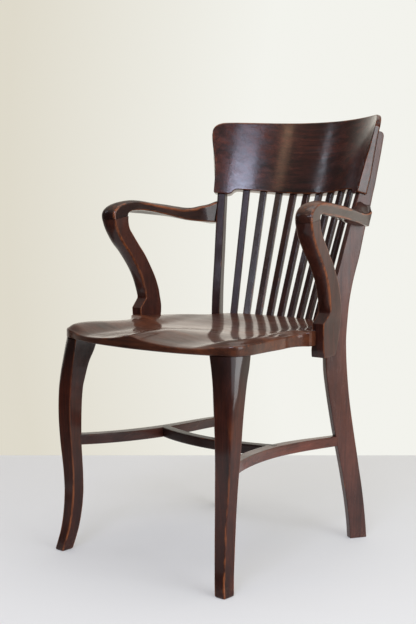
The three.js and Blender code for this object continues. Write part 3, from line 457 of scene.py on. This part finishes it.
# ------------------------------------------------------------ slats
def slat_rings(i):
    k = i - (SLAT_N - 1) / 2
    xb, xt = k * SLAT_PITCH_SEAT, k * SLAT_PITCH_CREST
    yb = SLAT_Y_SEAT - SLAT_R_SEAT + math.sqrt(SLAT_R_SEAT ** 2 - xb * xb)
    yt = SLAT_Y_CREST - SLAT_R_CREST + math.sqrt(SLAT_R_CREST ** 2 - xt * xt)
    b, t = Vector((xb, yb, 462.5)), Vector((xt, yt, 745))
    ax = (t - b).normalized()
    phi = (math.asin(xb / SLAT_R_SEAT) + math.asin(xt / SLAT_R_CREST)) / 2
    n = Vector((math.sin(phi), math.cos(phi), 0))
    n = (n - ax * n.dot(ax)).normalized()
    w = n.cross(ax).normalized()
    z1 = crest_bottom(abs(xt)) + 8
    rings = []
    for z in spread([450, z1], 12.0):
        o = b + ax * ((z - b.z) / ax.z)
        sec = section(-SLAT_W / 2, SLAT_W / 2, 0, SLAT_T, [1.7] * 4, seg=4, guard=1.6)
        rings.append([(*(o + w * p + n * q), m) for p, q, m in sec])
    return rings


# ------------------------------------------------------------ arm supports and arm rests
arm_in = curve([(415, 227.4), (432, 229), (450, 231), (470, 232.6), (520, 234), (600, 238), (650, 240.5), (690, 241.5)])
arm_out = curve([(415, 259.6), (470, 260), (520, 264), (600, 272), (650, 278.5), (690, 282)])
arm_skew = curve([(415, 0.06), (560, 0.065), (640, 0.13), (690, 0.19)])
SUPPORT = [
    (266.5, 418.6, 306, 420.5), (263.6, 432, 312.5, 435), (262, 455, 320, 457), (261.5, 474, 323.2, 476), (261.5, 485.5, 323.8, 488),
    (267, 491.6, 323.4, 494), (273.4, 498.6, 322.8, 500), (279.2, 505, 321.8, 506), (280.2, 510, 320.8, 512),
    (277.4, 524, 318, 527), (271, 547, 308.4, 553), (262, 568, 295, 578), (250, 588, 279, 603.5),
    (233.5, 611, 261.5, 625), (217, 630, 243.5, 648), (204, 650, 233, 662), (196.5, 665, 228.6, 677), (191.2, 681.6, 227.8, 688.4),
]
REST = [
    (191, 682, 227.8, 688.8), (190.3, 689.5, 228.3, 691.6), (191.6, 696.3, 229.2, 694.2), (195.6, 702.6, 231, 696.4),
    (203.5, 709.2, 234, 698.4), (214.5, 714.4, 239, 700), (228, 717.6, 245.5, 701.1), (247, 719.2, 255, 701.6),
    (266, 718.2, 268, 701.4), (285, 715.6, 284, 699.8), (304, 712, 301, 697.4), (329, 708, 325, 692.8),
    (356, 704, 352, 687.6), (377, 701.2, 374, 682.8), (398, 700.7, 397, 678.4), (419, 702.8, 420, 675.8),
    (437, 707, 437.5, 674.4), (456, 712, 456, 673.2), (475, 719.2, 475, 672), (492, 720.6, 492, 671.2), (520, 722, 520, 670.5),
]


rest_in = curve([(170, 243.9), (190, 241.5), (260, 232.6), (330, 223), (380, 215.6), (410, 210.4), (430, 205.6), (448, 199.2), (465, 190.5), (520, 160)])


# how much the outer top and lower arrises lie above or below the inner ones
rest_top_out = curve([(190, 0), (247, -0.8), (266, -0.2), (285, 1.2), (304, 2.8), (329, 4.2), (356, 4.9), (377, 4.6), (398, 1.5), (419, -4.2), (437, -10.8),
                      (456, -17), (466, -21), (475, -23), (485, -20.5), (492, -15.5), (500, -10), (520, 0)])
rest_low_out = curve([(190, 0), (228, 0), (245, -2), (255, -5), (268, -6.2), (284, -5.6), (301, -4.8), (325, -2.5), (352, -0.2), (374, 1.7), (397, 3.1),
                      (420, 2.2), (437, 0.6), (456, -1), (475, -2.6), (492, -3.7), (520, -4)])


def rest_out(y):
    return lerp(282, 221, (y - 190) / 292) + 0.005 * max(0.0, y - 460) ** 2


def support_rings():
    low = spline_linear(SUPPORT[:8], 3)
    high = spline_rows([SUPPORT[7]] + list(SUPPORT[8:]), 5)
    rows = low[:-1] + high
    rings = []
    first = True
    for idx, (yf, zf, yr, zr) in enumerate(rows):
        zm = (zf + zr) / 2
        k = arm_skew(zm)
        dy, dz = yr - yf, zr - zf
        L = math.hypot(dy, dz)
        dy, dz = dy / L, dz / L
        W = arm_out(zm) - arm_in(zm)
        free = clamp((zm - 505) / 25)
        r = lerp(1.3, 2.6, free)
        sec = section(0, W, 0, L, (r, r, lerp(1.3, 2.0, free), lerp(1.3, 2.0, free)), seg=4, na=5, nb=2)
        ring = []
        for a, b, w in sec:
            f = a / W
            crown = 1 - (2 * f - 1) ** 2
            bb = b - 4.2 * free * crown * clamp(1 - b / 6.0) + 1.2 * free * crown * clamp(1 - (L - b) / 6.0)
            y, z = yf + dy * bb, zf + dz * bb
            s = k * (y - yf)
            ring.append((arm_in(zm) - s + a, y, z, w))
        rings.append(ring)
    # rounded foot of the block
    cx = [sum(p[i] for p in rings[0]) / len(rings[0]) for i in range(3)]
    foot = []
    for f, dz in ((0.955, -0.0), (0.985, 0.35)):
        foot.append([(lerp(cx[0], p[0], f), lerp(cx[1], p[1], f), p[2] + dz, max(p[3], 0.9 * f ** 9)) for p in rings[0]])
    rings[0] = [(p[0], p[1], p[2] + 1.3, p[3]) for p in rings[0]]
    return foot + rings


def spline_linear(rows, steps):
    out = []
    for p, q in zip(rows, rows[1:]):
        for k in range(steps):
            out.append([lerp(a, b, k / steps) for a, b in zip(p, q)])
    out.append(list(rows[-1]))
    return out


def rest_rings():
    rows = spline_rows(REST, 4)
    rings = []
    for yt, zt, yu, zu in rows:
        dy, dz = yu - yt, zu - zt
        L = math.hypot(dy, dz)
        dy, dz = dy / L, dz / L
        bulge = 4.2 * clamp(1.25 - 0.25 * L / 38, 0.8, 1.1) * (1 - 0.6 * smooth(425, 465, yt))
        w0 = rest_out(yt) - rest_in(yt)
        sec = section(0, w0, 0, L, (3.0, 3.0, 1.8, 1.8), seg=4, na=6, nb=2)
        ring = []
        for a, b, w in sec:
            f = a / w0
            crown = 1 - (2 * f - 1) ** 2
            bb = b - bulge * crown * clamp(1 - b / 7.0) + 1.2 * crown * clamp(1 - (L - b) / 5.0)
            y, z = yt + dy * bb, zt + dz * bb
            z += lerp(rest_top_out(yt), rest_low_out(yu), clamp(b / L)) * smooth(0.2, 0.85, f)
            x = lerp(rest_in(y), rest_out(y), f) + 4.0 * smooth(405, 445, yt) * (1 - clamp(b / L)) * (1 - f)
            w = max(w, 0.58 * (1 - smooth(215, 330, yt)) * smooth(690, 714, zt) * clamp(1 - b / 6.0))
            ring.append((x, y, z, w))
        rings.append(ring)
    return rings


# ------------------------------------------------------------ front legs
leg_xi = curve([(0, 206.8), (20, 203), (40, 198.8), (70, 194.9), (100, 192.5), (130, 191.4), (160, 191.4), (190, 192), (220, 193.4),
                (250, 194.6), (280, 195), (310, 194.6), (340, 193), (370, 190), (385, 188), (400, 185.9), (420, 182.6), (442.2, 178.6)])
leg_xo = curve([(0, 231.6), (20, 226.9), (40, 224), (70, 221.2), (100, 220), (130, 220.4), (160, 222.6), (190, 225.6), (220, 228.7),
                (250, 231), (280, 233), (310, 234.5), (340, 235.8), (370, 236.5), (385, 236), (400, 235.2), (420, 234.5), (442.2, 234.5)])
leg_yf = curve([(0, 0), (20, 3.8), (40, 8.6), (70, 13.1), (100, 16), (130, 17.7), (160, 18), (190, 17.3), (220, 15.9),
                (250, 14.5), (280, 13.4), (310, 12.9), (340, 13.2), (370, 14.1), (400, 15.4), (420, 16.2), (442.2, 16.5)])
leg_yr = curve([(0, 28.4), (20, 33.8), (40, 37.8), (70, 42.7), (100, 45.8), (130, 47.2), (160, 46.7), (190, 45.6), (220, 45.1),
                (250, 46.1), (280, 47.2), (310, 48.4), (340, 50.4), (355, 52.2), (370, 54.2), (385, 57.4), (400, 61.4), (420, 67.4), (442.2, 71)])
leg_r = curve([(0, 1.5), (130, 1.5), (190, 2), (250, 3.5), (280, 5.5), (310, 9), (340, 14), (355, 18), (370, 22), (385, 26), (400, 30), (420, 36), (442.2, 46)])


leg_flare = curve([(345, 0), (360, 2), (373, 3), (386, 3.2), (396, 4), (411, 6.8), (429, 8.4), (442.2, 9.5)])


def leg_rings():
    zs = [(0.0, 3.4), (0.4, 2.2), (1.1, 1.2), (2.2, 0.45), (3.8, 0.0)] + [(z, 0.0) for z in spread([7, 60, 300, 442.4], 7.0)]
    rings = []
    for z, inset in zs:
        xi, xo, yf, yr = leg_xi(z) + inset, leg_xo(z) - inset, leg_yf(z) + inset, leg_yr(z) - inset
        R, r = max(leg_r(z), 2.6), 2.4
        sec = section(xi, xo, yf, yr, (r, R, r, r), seg=10, na=3, nb=3)
        fade = 1 - smooth(4.0, 20.0, R)
        ring = []
        for i, (a, b, w) in enumerate(sec):
            if 11 + 5 <= i <= 11 + 5 + 10:
                w *= max(fade, 0.12)
            if b < yf + 0.3 * (yr - yf):
                b += 1.3 * clamp(1 - (a - xi) / (0.55 * (xo - xi))) ** 2 * clamp(1 - (b - yf) / 3.0) * smooth(300, 380, z)
            f = leg_flare(z) if z > 345 else 0.0
            b += f * clamp((b - yf) / (yr - yf)) ** 2 * clamp(1 - (a - xi) / (xo - xi))
            ring.append((a, b, z, w))
        rings.append(ring)
    return rings


# ------------------------------------------------------------ stretchers
side_x = curve([(20, 225.1), (30, 219), (45, 210.7), (60, 203.1), (75, 196.3), (90, 190.1), (110, 182.8), (130, 176.6), (150, 171.2),
                (170, 166.5), (190, 162.7), (210, 159.6), (230, 157.3), (250, 155.9), (270, 155.3), (290, 155.3), (310, 155.9),
                (330, 156.9), (350, 158.2), (370, 159.7), (390, 161.2), (410, 162.6), (430, 163.8), (445, 164.5), (470, 165.7)])


def stretch_z(y):
    d = y - 230
    return 234.6 - 0.0327 * d - 2.4e-5 * d * d - 1.91e-7 * d ** 3


def stretch_t(y):
    return lerp(26.0, 19.0, smooth(250, 440, y))


def side_rings():
    rings = []
    for y in spread([36, 462], 8.0):
        T = stretch_t(y)
        x, e = side_x(y) - 0.4 * (T - 16.5), 0.5
        tx = side_x(y + e) - side_x(y - e)
        L = math.hypot(tx, 2 * e)
        nx, ny = 2 * e / L, -tx / L
        zt = stretch_z(y)
        sec = section(-T / 2, T / 2, zt - STRETCH_H, zt, [2.0] * 4, seg=4)
        rings.append([(x + nx * a, y + ny * a, b, w) for a, b, w in sec])
    return rings


def cross_rings():
    rings = []
    for x in spread([-154, 154], 8.0):
        y, k = 218.5 + 26 * (x / 140) ** 2, 2 * 26 * x / 140 ** 2
        L = math.hypot(1, k)
        sec = section(-CROSS_T / 2, CROSS_T / 2, 234.2 - STRETCH_H + 0.6, 234.2, [2.0] * 4, seg=4)
        rings.append([(x - k / L * a, y + a / L, b, w) for a, b, w in sec])
    return rings


# ------------------------------------------------------------ seat
SEAT_A = [(0, -11), (22, -10.4), (45, -9), (66, -7.4), (85, -5.4), (110, -2), (130, 2), (153, 8), (172, 13.6), (190, 19.5), (208, 24.5),
          (221, 31), (230, 40.5), (234.5, 53), (235.8, 67), (235.4, 82), (233, 108), (230.8, 140), (229.6, 165),
          (227.9, 180), (226.3, 192), (225.4, 204), (225.8, 214), (227.7, 222), (231, 229.3), (235.6, 234.8), (242, 239.6)]
SEAT_B = [(242, 239.6), (243, 247), (241.6, 261.6), (232.3, 261.9), (229.2, 323.6)]
SEAT_C = [(228.7, 325), (216.5, 344), (205.6, 359.3), (190, 376), (171.5, 391), (160, 402)]
edge_front = curve([(0, 468.6), (10, 467.4), (25, 463.4), (50, 459.3), (80, 456.4), (105, 454.5), (135, 453.7), (165, 454), (190, 456), (210, 457.8), (235, 460)])
edge_side = curve([(48, 459.6), (80, 460.1), (110, 460.9), (140, 462.6), (170, 464.4), (200, 464.9), (218, 465.1), (228, 466.6), (235, 469), (240, 471.1), (248, 472),
                   (262, 471), (300, 467.6), (360, 465.4), (400, 463.6), (430, 461), (460, 458.6), (482, 458)])
rim_side = curve([(-11, 467.5), (20, 469.6), (50, 471), (75, 471.6), (100, 471.2), (125, 470), (150, 468.4), (175, 467.2), (200, 466.4), (215, 466.6),
                  (228, 468.6), (240, 472), (252, 472), (265, 470.6), (290, 468.9), (325, 468.4), (360, 469.2), (400, 470), (440, 469.6), (481, 467)])
rim_mid = curve([(-11, 469), (5, 470), (20, 470.9), (48, 471.8), (76, 471.4), (118, 469.2), (165, 464.6), (205, 460.8), (240, 459), (280, 459.2),
                 (330, 461.4), (380, 464.8), (420, 467.5), (445, 468.8), (465, 468.6), (481, 467.4)])
rim_thigh = curve([(-11, 454.1), (10, 454.9), (40, 455.7), (80, 456.5), (120, 457.1), (160, 457.7), (200, 458.5), (240, 459.7), (280, 461.4),
                   (320, 463.7), (360, 466.2), (400, 468.2), (440, 469.2), (481, 467.4)])
ridge = curve([(0, 0), (0.074, 0.08), (0.185, 0.35), (0.37, 0.62), (0.59, 0.82), (0.78, 0.946), (1, 1)])


def seat_edge(x, y):
    t = smooth(38, 58, y)
    return lerp(edge_front(abs(x)), edge_side(max(y, 48)), t)


def seat_field(x, y):
    """Height of the dished top: a ridge at the middle, two thigh hollows beside it and the raised rim."""
    ax = abs(x)
    t = clamp(ax / 135)
    s = lerp(ridge(t), t * t * (3 - 2 * t), smooth(-10, 170, y))
    mid = lerp(rim_mid(y), rim_thigh(y), s)
    return lerp(mid, rim_side(y), smooth(132, 214, ax))


def seat_mesh():
    a = spline_rows([(-22, -10.4)] + SEAT_A, 6)[6:]
    b = spline_linear(SEAT_B, 6)
    c = spline_rows(SEAT_C, 5)
    d = [(149, 426)] + [(SEAT_REAR_R * math.sin(math.radians(t)), 182 + SEAT_REAR_R * math.cos(math.radians(t))) for t in [27.5 - 0.9 * k for k in range(31)] if t > 0] + [(0, 481)]
    half = [tuple(p) for p in a] + [tuple(p) for p in b[1:]] + [tuple(p) for p in c] + d
    first, last = len(a) - 1, len(a) - 1 + len(b) - 1
    out = half + [(-x, y) for x, y in reversed(half[1:-1])]
    n = len(out)
    C = (0.0, 235.0)
    nor = []
    for i, p in enumerate(out):
        q, r = out[i - 1], out[(i + 1) % n]
        e0 = Vector((p[0] - q[0], p[1] - q[1])).normalized()
        e1 = Vector((r[0] - p[0], r[1] - p[1])).normalized()
        n0, n1 = Vector((-e0.y, e0.x)), Vector((-e1.y, e1.x))
        m = n0 + n1
        if m.length < 1e-6:
            m = n0.copy()
        m.normalize()
        m *= min(1.5, 1 / max(m.dot(n0), 0.3))
        if m.x * (C[0] - p[0]) + m.y * (C[1] - p[1]) < 0:
            m = -m
        nor.append(m)
    # the arris is left square where an arm block stands against it
    soft = []
    for i in range(n):
        k = min(i, n - i)
        soft.append(0.12 if first + 12 < k <= last else 1.0)
    edge = [seat_edge(x, y) for x, y in out]
    drop = [seat_field(x, y) - e for (x, y), e in zip(out, edge)]

    def top(x, y, i):
        dd = math.hypot(x - out[i][0], y - out[i][1]) / SEAT_ROUND
        return seat_field(x, y) - (drop[i] * (1 - dd) ** 2 if dd < 1 else 0.0)

    bm = bmesh.new()
    lay = bm.verts.layers.float.new("wear")
    rows = []

    def row(pts):
        vs = []
        for x, y, z, w in pts:
            v = bm.verts.new((x * 1e-3, (y - Y_MID) * 1e-3, z * 1e-3))
            v[lay] = w
            vs.append(v)
        rows.append(vs)

    rb, rt = 2.4, 3.2
    for k in range(0, 5):          # lower arris
        t = k / 4 * HALF
        row([(x + m.x * rb * k2 * (1 - math.sin(t)), y + m.y * rb * k2 * (1 - math.sin(t)), SEAT_Z0 + rb * k2 * (1 - math.cos(t)), 0.35 * k2) for (x, y), m, k2 in zip(out, nor, soft)])
    zb = SEAT_Z0 + rb
    for f in (0.25, 0.5, 0.75):
        row([(x, y, lerp(zb, e - rt, f), 0.0) for (x, y), e in zip(out, edge)])
    # upper arris, then the top, first square to the edge and then towards the middle
    for k in range(0, 6):
        t = k / 5 * HALF
        ins = rt * (1 - math.cos(t))
        pts = []
        for i, ((x, y), m) in enumerate(zip(out, nor)):
            f = soft[i]
            px, py = x + m.x * ins * f, y + m.y * ins * f
            zt = top(x + m.x * rt * f, y + m.y * rt * f, i)
            pts.append((px, py, zt - rt * f * (1 - math.sin(t)) - max(zt - edge[i] - 0.5, 0.0) * (1 - math.sin(t)) * 0.35 * f, (0.9 if 0 < k < 5 else 0.5) * f))
        row(pts)
    base = [(x + m.x * lerp(1.0, 5.0, f), y + m.y * lerp(1.0, 5.0, f)) for (x, y), m, f in zip(out, nor, soft)]
    row([(x, y, top(x, y, i), 0.0) for i, (x, y) in enumerate(base)])
    for dd in (2.5, 5.5, 9, 13, 17, 22, 28, 35, 43, 52):
        pts = []
        for i, (x, y) in enumerate(base):
            R = math.hypot(x - C[0], y - C[1])
            k = (R - dd) / R
            px, py = lerp(C[0], x, k), lerp(C[1], y, k)
            pts.append((px, py, top(px, py, i), 0.0))
        row(pts)
    for q in range(1, 16):
        pts = []
        for i, (x, y) in enumerate(base):
            R = math.hypot(x - C[0], y - C[1])
            k = (R - 52) / R * (1 - q / 16)
            px, py = lerp(C[0], x, k), lerp(C[1], y, k)
            pts.append((px, py, seat_field(px, py), 0.0))
        row(pts)
    for r0, r1 in zip(rows, rows[1:]):
        for i in range(n):
            j = (i + 1) % n
            bm.faces.new((r0[i], r0[j], r1[j], r1[i]))
    ct = bm.verts.new((0, (C[1] - Y_MID) * 1e-3, seat_field(*C) * 1e-3))
    cb = bm.verts.new((0, (C[1] - Y_MID) * 1e-3, SEAT_Z0 * 1e-3))
    for i in range(n):
        j = (i + 1) % n
        bm.faces.new((rows[-1][i], rows[-1][j], ct))
        bm.faces.new((rows[0][j], rows[0][i], cb))
    bmesh.ops.recalc_face_normals(bm, faces=bm.faces[:])
    return finish_mesh(bm, "saddled_seat", "seat", "seat", 34.0)


# ------------------------------------------------------------ the pieces
seat_mesh()
build("curved_crest", crest_rings(), "crest", "crest_rail", 34)
for i in range(SLAT_N):
    build("back_slat_%d" % (i + 1), slat_rings(i), "slat", "slat_%d" % (i + 1))
for side, flip in (("left", False), ("right", True)):
    build("post_" + side, post_rings(), "post", "back_post_" + side, flip=flip)
    build("leg_" + side, leg_rings(), "leg", "front_leg_" + side, flip=flip)
    build("arm_post_" + side, support_rings(), "arm", "arm_support_" + side, sharp=26, flip=flip)
    build("arm_hook_" + side, rest_rings(), "arm", "arm_rest_" + side, flip=flip,
          cuts=[(on_post(57.5, 0, 690), Vector((PD[0], PD[1], -0.37)).normalized()), (on_post(0, 0.2, 695), (-PN[0], -PN[1], 0))])
    s0 = post_front(224) + 0.6
    nz = (post_front(214) - post_front(234)) / 20
    build("stretcher_" + side, side_rings(), "stretcher", "side_stretcher_" + side, flip=flip,
          cuts=[(on_post(s0, 0, 224), Vector((PD[0], PD[1], nz)).normalized())])
build("stretcher_cross", cross_rings(), "stretcher", "cross_stretcher")
for name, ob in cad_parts.items():
    if "dowel" in name:
        ob.data.materials.clear()
        ob.data.materials.append(MATERIALS["dowel"])

# ------------------------------------------------------------ floor
bm = bmesh.new()
VIEW = Vector((-math.sin(0.71715), math.cos(0.71715), 0))
SIDE = Vector((math.cos(0.71715), math.sin(0.71715), 0))
for a, b in ((-0.95, -1.15), (0.95, -1.15), (0.95, 0.80), (-0.95, 0.80)):
    bm.verts.new(SIDE * a + VIEW * b + Vector((0, 0, -0.0002)))
bm.faces.new(bm.verts[:])
fm = bpy.data.meshes.new("floor")
bm.to_mesh(fm)
bm.free()
floor = bpy.data.objects.new("floor", fm)
bpy.context.scene.collection.objects.link(floor)
fmat = bpy.data.materials.new("pale_floor")
g = Graph(fmat)
b = g.add("ShaderNodeBsdfPrincipled", {"Base Color": (0.50, 0.50, 0.505, 1), "Roughness": 0.8})
b.inputs["Specular IOR Level"].default_value = 0.1
b.inputs["Emission Color"].default_value = (0.96, 0.98, 1.0, 1)
b.inputs["Emission Strength"].default_value = 0.27
g.t.links.new(b.outputs[0], g.add("ShaderNodeOutputMaterial").inputs["Surface"])
fm.materials.append(fmat)

# ------------------------------------------------------------ light
world = bpy.data.worlds.new("studio")
bpy.context.scene.world = world
world.use_nodes = True
wt = world.node_tree
wt.nodes.clear()
g = Graph.__new__(Graph)
g.t = wt
gen = g.add("ShaderNodeTexCoord").outputs["Generated"]


def facing(direction):
    nd = g.add("ShaderNodeVectorMath", operation="DOT_PRODUCT")
    wt.links.new(gen, nd.inputs[0])
    nd.inputs[1].default_value = tuple(Vector(direction).normalized())
    return nd.outputs["Value"]


def heading(deg, elev=0.0):
    a, e = math.radians(deg), math.radians(elev)
    return Vector((math.cos(a) * math.cos(e), math.sin(a) * math.cos(e), math.sin(e)))


# a wide cream wall behind, a bright side to the right, a dim room in front and to the left
back = g.math("MULTIPLY", g.remap(facing(heading(112)), 0.16, 0.70, 0.0, 1.0), g.remap(facing((0, 0, 1)), 0.16, 0.34, 1.12, 0.46))
right = g.remap(facing(heading(28, 2)), 0.45, 0.93, 0.0, 0.74)
above = g.remap(facing((0, 0, 1)), 0.45, 0.95, 0.0, 0.70)
glow = g.math("ADD", g.math("MAXIMUM", g.math("MAXIMUM", back, right), above), 0.05)
lp = g.add("ShaderNodeLightPath").outputs["Is Camera Ray"]
bg1 = g.add("ShaderNodeBackground", {"Color": (1.0, 0.945, 0.84, 1), "Strength": glow})
shade = g.mix(g.remap(facing(heading(90)), 0.63, 0.78), (0.735, 0.70, 0.60), (0.895, 0.895, 0.845))
bg2 = g.add("ShaderNodeBackground", {"Color": shade, "Strength": 1.0})
mx = g.add("ShaderNodeMixShader", {0: lp, 1: bg1.outputs[0], 2: bg2.outputs[0]})
wt.links.new(mx.outputs[0], g.add("ShaderNodeOutputWorld").inputs["Surface"])


def softbox(name, direction, dist, w, h, radiance, color=(1, 1, 1), target=(0, 0, 0.55)):
    d = Vector(direction).normalized()
    li = bpy.data.lights.new(name, "AREA")
    li.shape = "RECTANGLE"
    li.size, li.size_y = w, h
    li.energy = radiance * math.pi * w * h
    li.color = color
    ob = bpy.data.objects.new(name, li)
    ob.location = Vector(target) + d * dist
    ob.rotation_euler = (-d).to_track_quat("-Z", "Y").to_euler()
    bpy.context.scene.collection.objects.link(ob)
    return ob


softbox("window_right", heading(-5, 14), 2.6, 1.50, 1.8, 4.1, (0.93, 0.965, 1.0))
softbox("window_front", heading(-65, 37.5), 2.8, 0.90, 0.60, 12.0, (0.70, 0.755, 1.0))
softbox("window_sill", heading(-65, 31.5), 2.8, 0.90, 0.12, 13.5, (0.72, 0.77, 1.0))
softbox("window_side", heading(-32, 13), 2.7, 0.85, 1.0, 1.3, (0.88, 0.92, 1.0))
softbox("window_low", heading(-91, 27.5), 2.8, 0.55, 0.40, 4.6, (0.80, 0.86, 1.0))
softbox("door_gap", heading(-153, 30), 2.8, 0.15, 0.70, 5.6, (0.80, 0.87, 1.0))
softbox("lamp", heading(-107, 46), 2.8, 0.28, 0.5, 3.8, (1.0, 0.62, 0.38))
softbox("ceiling", (0.1, 0.2, 1.0), 2.8, 2.6, 2.6, 1.25, (1.0, 0.98, 0.95))

# ------------------------------------------------------------ camera
cam = bpy.data.cameras.new("camera")
cam.sensor_fit = "AUTO"
cam.sensor_width = 36.0
cam.lens = 1150 / 624 * 36
co = bpy.data.objects.new("camera", cam)
co.location = (1.5422, -1.54866 - Y_MID * 1e-3, 0.73208)
AZ, EL = 0.71715, 0.1005
look = Vector((-math.sin(AZ) * math.cos(EL), math.cos(AZ) * math.cos(EL), -math.sin(EL)))
co.rotation_euler = look.to_track_quat("-Z", "Y").to_euler()
bpy.context.scene.collection.objects.link(co)
bpy.context.scene.camera = co
bpy.context.scene.view_settings.view_transform = "Standard"
